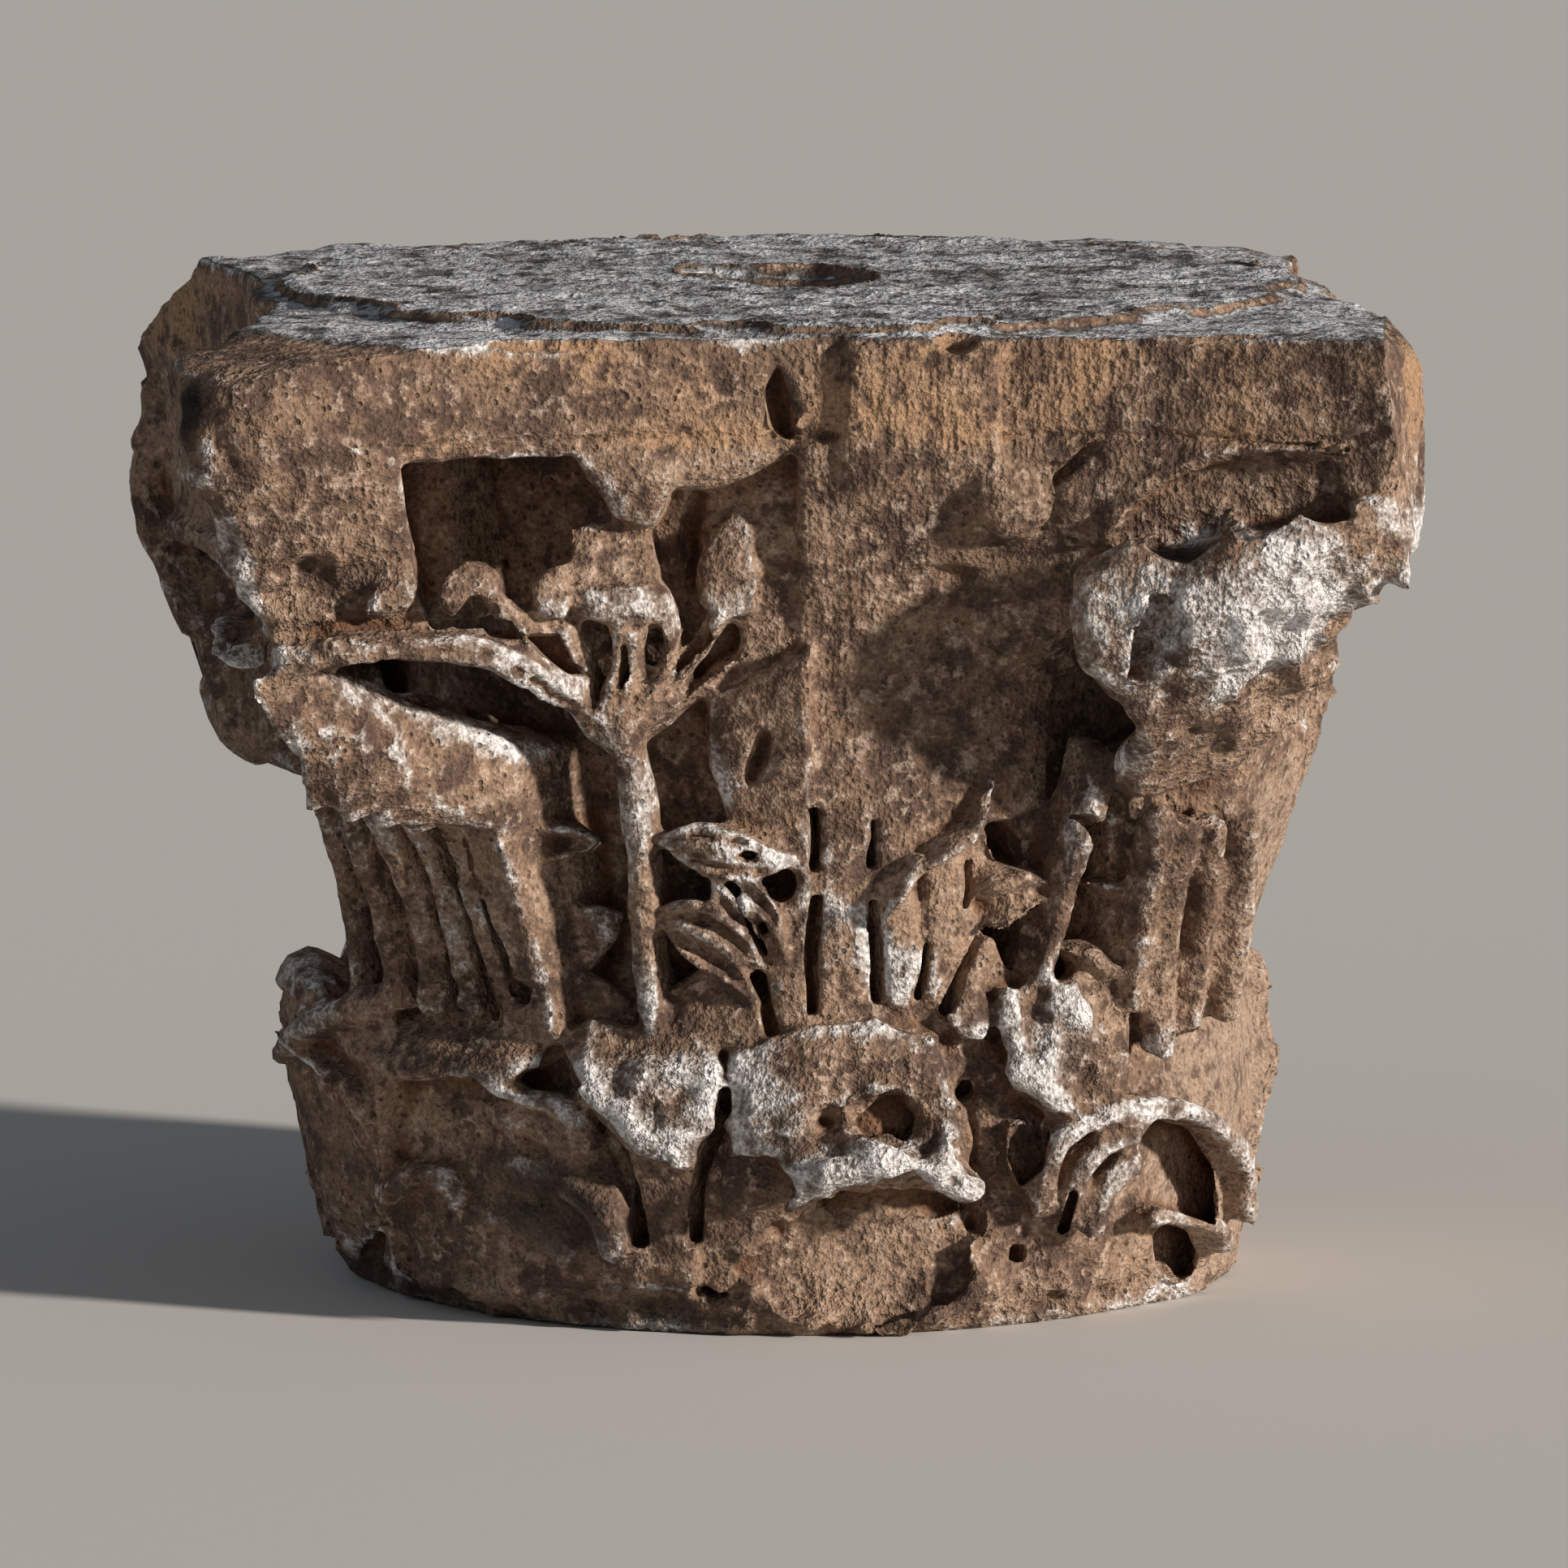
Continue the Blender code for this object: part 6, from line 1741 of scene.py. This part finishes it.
class CapitalSizes(bpy.types.PropertyGroup):
    grain: bpy.props.FloatProperty(
        name="Grain", description="How fine the worked skin is", default=0.0028, min=0.001, unit="LENGTH",
    )
    triangles: bpy.props.IntProperty(
        name="Triangles", description="How many triangles the finished piece has",
        default=194000, min=1000,
    )
    front_share: bpy.props.FloatProperty(
        name="Front share", description="How much of the triangles the front half keeps",
        default=0.66, min=0.1, max=0.9, subtype="FACTOR",
    )
    roughness: bpy.props.FloatProperty(
        name="Unevenness", description="How uneven the breaks and the skin are",
        default=1.0, subtype="FACTOR",
    )
    wear: bpy.props.FloatProperty(
        name="Wear", description="How far the arrises are worn and chipped", default=1.0, subtype="FACTOR",
    )


class MarbleColours(bpy.types.PropertyGroup):
    brown: colour_setting("Brown", "#57443a", "The darker patina")
    ochre: colour_setting("Ochre", "#846b58", "The common patina")
    tan: colour_setting("Tan", "#9c826d", "The lighter patina")
    light_tan: colour_setting("Light tan", "#b8a190", "Grains where the patina is thin")
    orange: colour_setting("Orange", "#a58160", "Warm patches on the abacus's face")
    # Laid as a paler beige on the lower right side
    beige: colour_setting("Beige", "#a68f7c", "The cleaner right side")
    rust: colour_setting("Rust", "#6f4c33", "Earth in the hollows")
    # Painted shade with some dirt, for the deepest hollows and the pits
    dark: colour_setting("Dark", "#38281e", "The deepest hollows")
    crust: colour_setting("Crust", "#dddad9", "Pale crust on what stands out")
    crust_dark: colour_setting("Grey crust", "#a39a92", "Greyer crust")
    # Partly the stone's grey, partly painted cool skylight on the upward faces of the top
    bed: colour_setting("Bed", "#d2d4d8", "The bearing bed")
    bed_dark: colour_setting("Dark bed", "#4a4541", "Dirt on the bearing bed")
    # Black weathering, also laid as painted shade at the foot on the left and above the fallen leaf's crest
    soot_and_shade: colour_setting("Soot", "#15120f", "Black weathering")


class StudioSettings(bpy.types.PropertyGroup):
    key: bpy.props.FloatProperty(name="Key", description="Strength of the main light", default=4.6, min=0.0)
    key_colour: colour_setting("Key colour", "#fff6ec", "Colour of the main light")
    fill: bpy.props.FloatProperty(
        name="Fill", description="Strength of the soft light opposite", default=0.17, min=0.0,
    )
    air: bpy.props.FloatProperty(name="Air", description="Light from all round", default=0.12, min=0.0)
    floor: colour_setting("Floor", "#dddbd7", "The pale floor")


class CAPITAL_OT_carve(bpy.types.Operator):
    """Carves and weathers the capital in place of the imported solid"""

    bl_idname = "capital.carve"
    bl_label = "Carve the capital"

    def execute(self, context):
        sizes = context.scene.capital_sizes
        parts, cuts = all_parts()
        capital = fuse(join(parts, "weathered_capital"), sizes.grain)
        cutter = fuse(join(cuts, "drilling"), sizes.grain)
        carve_away(capital, cutter, "drilling")
        keep_block(capital)
        weather(capital, sizes)
        thin_out(capital, sizes.triangles, sizes.front_share)
        capital.data.materials.clear()
        capital.data.materials.append(weathered_marble(context.scene.marble_colours))
        capital.data.shade_smooth()
        if len(capital.data.polygons) < LEAST_FACES:
            raise RuntimeError("the capital came out empty")
        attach(capital, "root")
        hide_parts(NODE)
        return {"FINISHED"}


class CAPITAL_OT_lay_stage(bpy.types.Operator):
    """Lays the pale floor, hangs the lights and stands the camera at the photograph's eye"""

    bl_idname = "capital.lay_stage"
    bl_label = "Lay the stage"

    def execute(self, context):
        studio = context.scene.studio_settings
        scene = context.scene
        work = bmesh.new()
        bmesh.ops.create_grid(work, x_segments=2, y_segments=2, size=FLOOR_REACH)
        bmesh.ops.translate(work, verts=work.verts, vec=(0, 0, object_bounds()[0].z - FLOOR_DROP))
        mesh = finish(work, "floor")
        floor = bpy.data.objects.new("studio_floor", mesh)
        scene.collection.objects.link(floor)
        floor.data.materials.append(matt_floor(studio.floor))
        floor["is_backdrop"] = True
        for name, azimuth, rise, softness, strength, colour in (
            ("key", 59.0, 16.0, 4.0, studio.key, studio.key_colour),
            ("fill", -64.0, 34.0, 70.0, studio.fill, (0.80, 0.88, 1.0)),
        ):
            light = bpy.data.lights.new(name, "SUN")
            light.angle = math.radians(softness)
            light.energy = strength
            light.color = colour
            lamp = bpy.data.objects.new(name, light)
            scene.collection.objects.link(lamp)
            climb = math.radians(rise)
            toward = outward(azimuth) * math.cos(climb) + Vector((0, 0, math.sin(climb)))
            lamp.location = toward * LAMP_DISTANCE
            lamp.rotation_mode = "QUATERNION"
            lamp.rotation_quaternion = toward.to_track_quat("Z", "Y")
        world = bpy.data.worlds.new("air")
        scene.world = world
        world.use_nodes = True
        sky = world.node_tree.nodes["Background"]
        sky.inputs["Color"].default_value = (0.86, 0.92, 1.0, 1.0)
        sky.inputs["Strength"].default_value = studio.air
        camera = bpy.data.objects.new("camera", bpy.data.cameras.new("camera"))
        scene.collection.objects.link(camera)
        camera.location = EYE_TARGET + EYE_BACK * EYE_DISTANCE
        camera.rotation_mode = "QUATERNION"
        camera.rotation_quaternion = (-EYE_BACK).to_track_quat("-Z", "Y")
        camera.data.sensor_width = SENSOR_MM
        camera.data.lens = EYE_FOCAL / PICTURE_SIDE * SENSOR_MM
        camera.data.clip_end = 100.0
        scene.camera = camera
        scene.view_settings.view_transform = "Standard"
        return {"FINISHED"}


class CAPITAL_PT_panel(bpy.types.Panel):
    bl_label = "Marble capital"
    bl_idname = "CAPITAL_PT_panel"
    bl_space_type = "VIEW_3D"
    bl_region_type = "UI"
    bl_category = "Capital"

    def draw(self, context):
        scene = context.scene
        for group in (scene.capital_sizes, scene.marble_colours, scene.studio_settings):
            box = self.layout.box()
            for name in group.bl_rna.properties.keys():
                if name not in ("rna_type", "name"):
                    box.prop(group, name)
        self.layout.operator(CAPITAL_OT_carve.bl_idname)
        self.layout.operator(CAPITAL_OT_lay_stage.bl_idname)


CLASSES = (
    CapitalSizes, MarbleColours, StudioSettings, CAPITAL_OT_carve, CAPITAL_OT_lay_stage, CAPITAL_PT_panel,
)


def register():
    for item in CLASSES:
        bpy.utils.register_class(item)
    bpy.types.Scene.capital_sizes = bpy.props.PointerProperty(type=CapitalSizes)
    bpy.types.Scene.marble_colours = bpy.props.PointerProperty(type=MarbleColours)
    bpy.types.Scene.studio_settings = bpy.props.PointerProperty(type=StudioSettings)


def unregister():
    del bpy.types.Scene.capital_sizes
    del bpy.types.Scene.marble_colours
    del bpy.types.Scene.studio_settings
    for item in reversed(CLASSES):
        bpy.utils.unregister_class(item)


def main():
    register()
    bpy.ops.capital.carve()
    bpy.ops.capital.lay_stage()


if __name__ == "__main__":
    main()
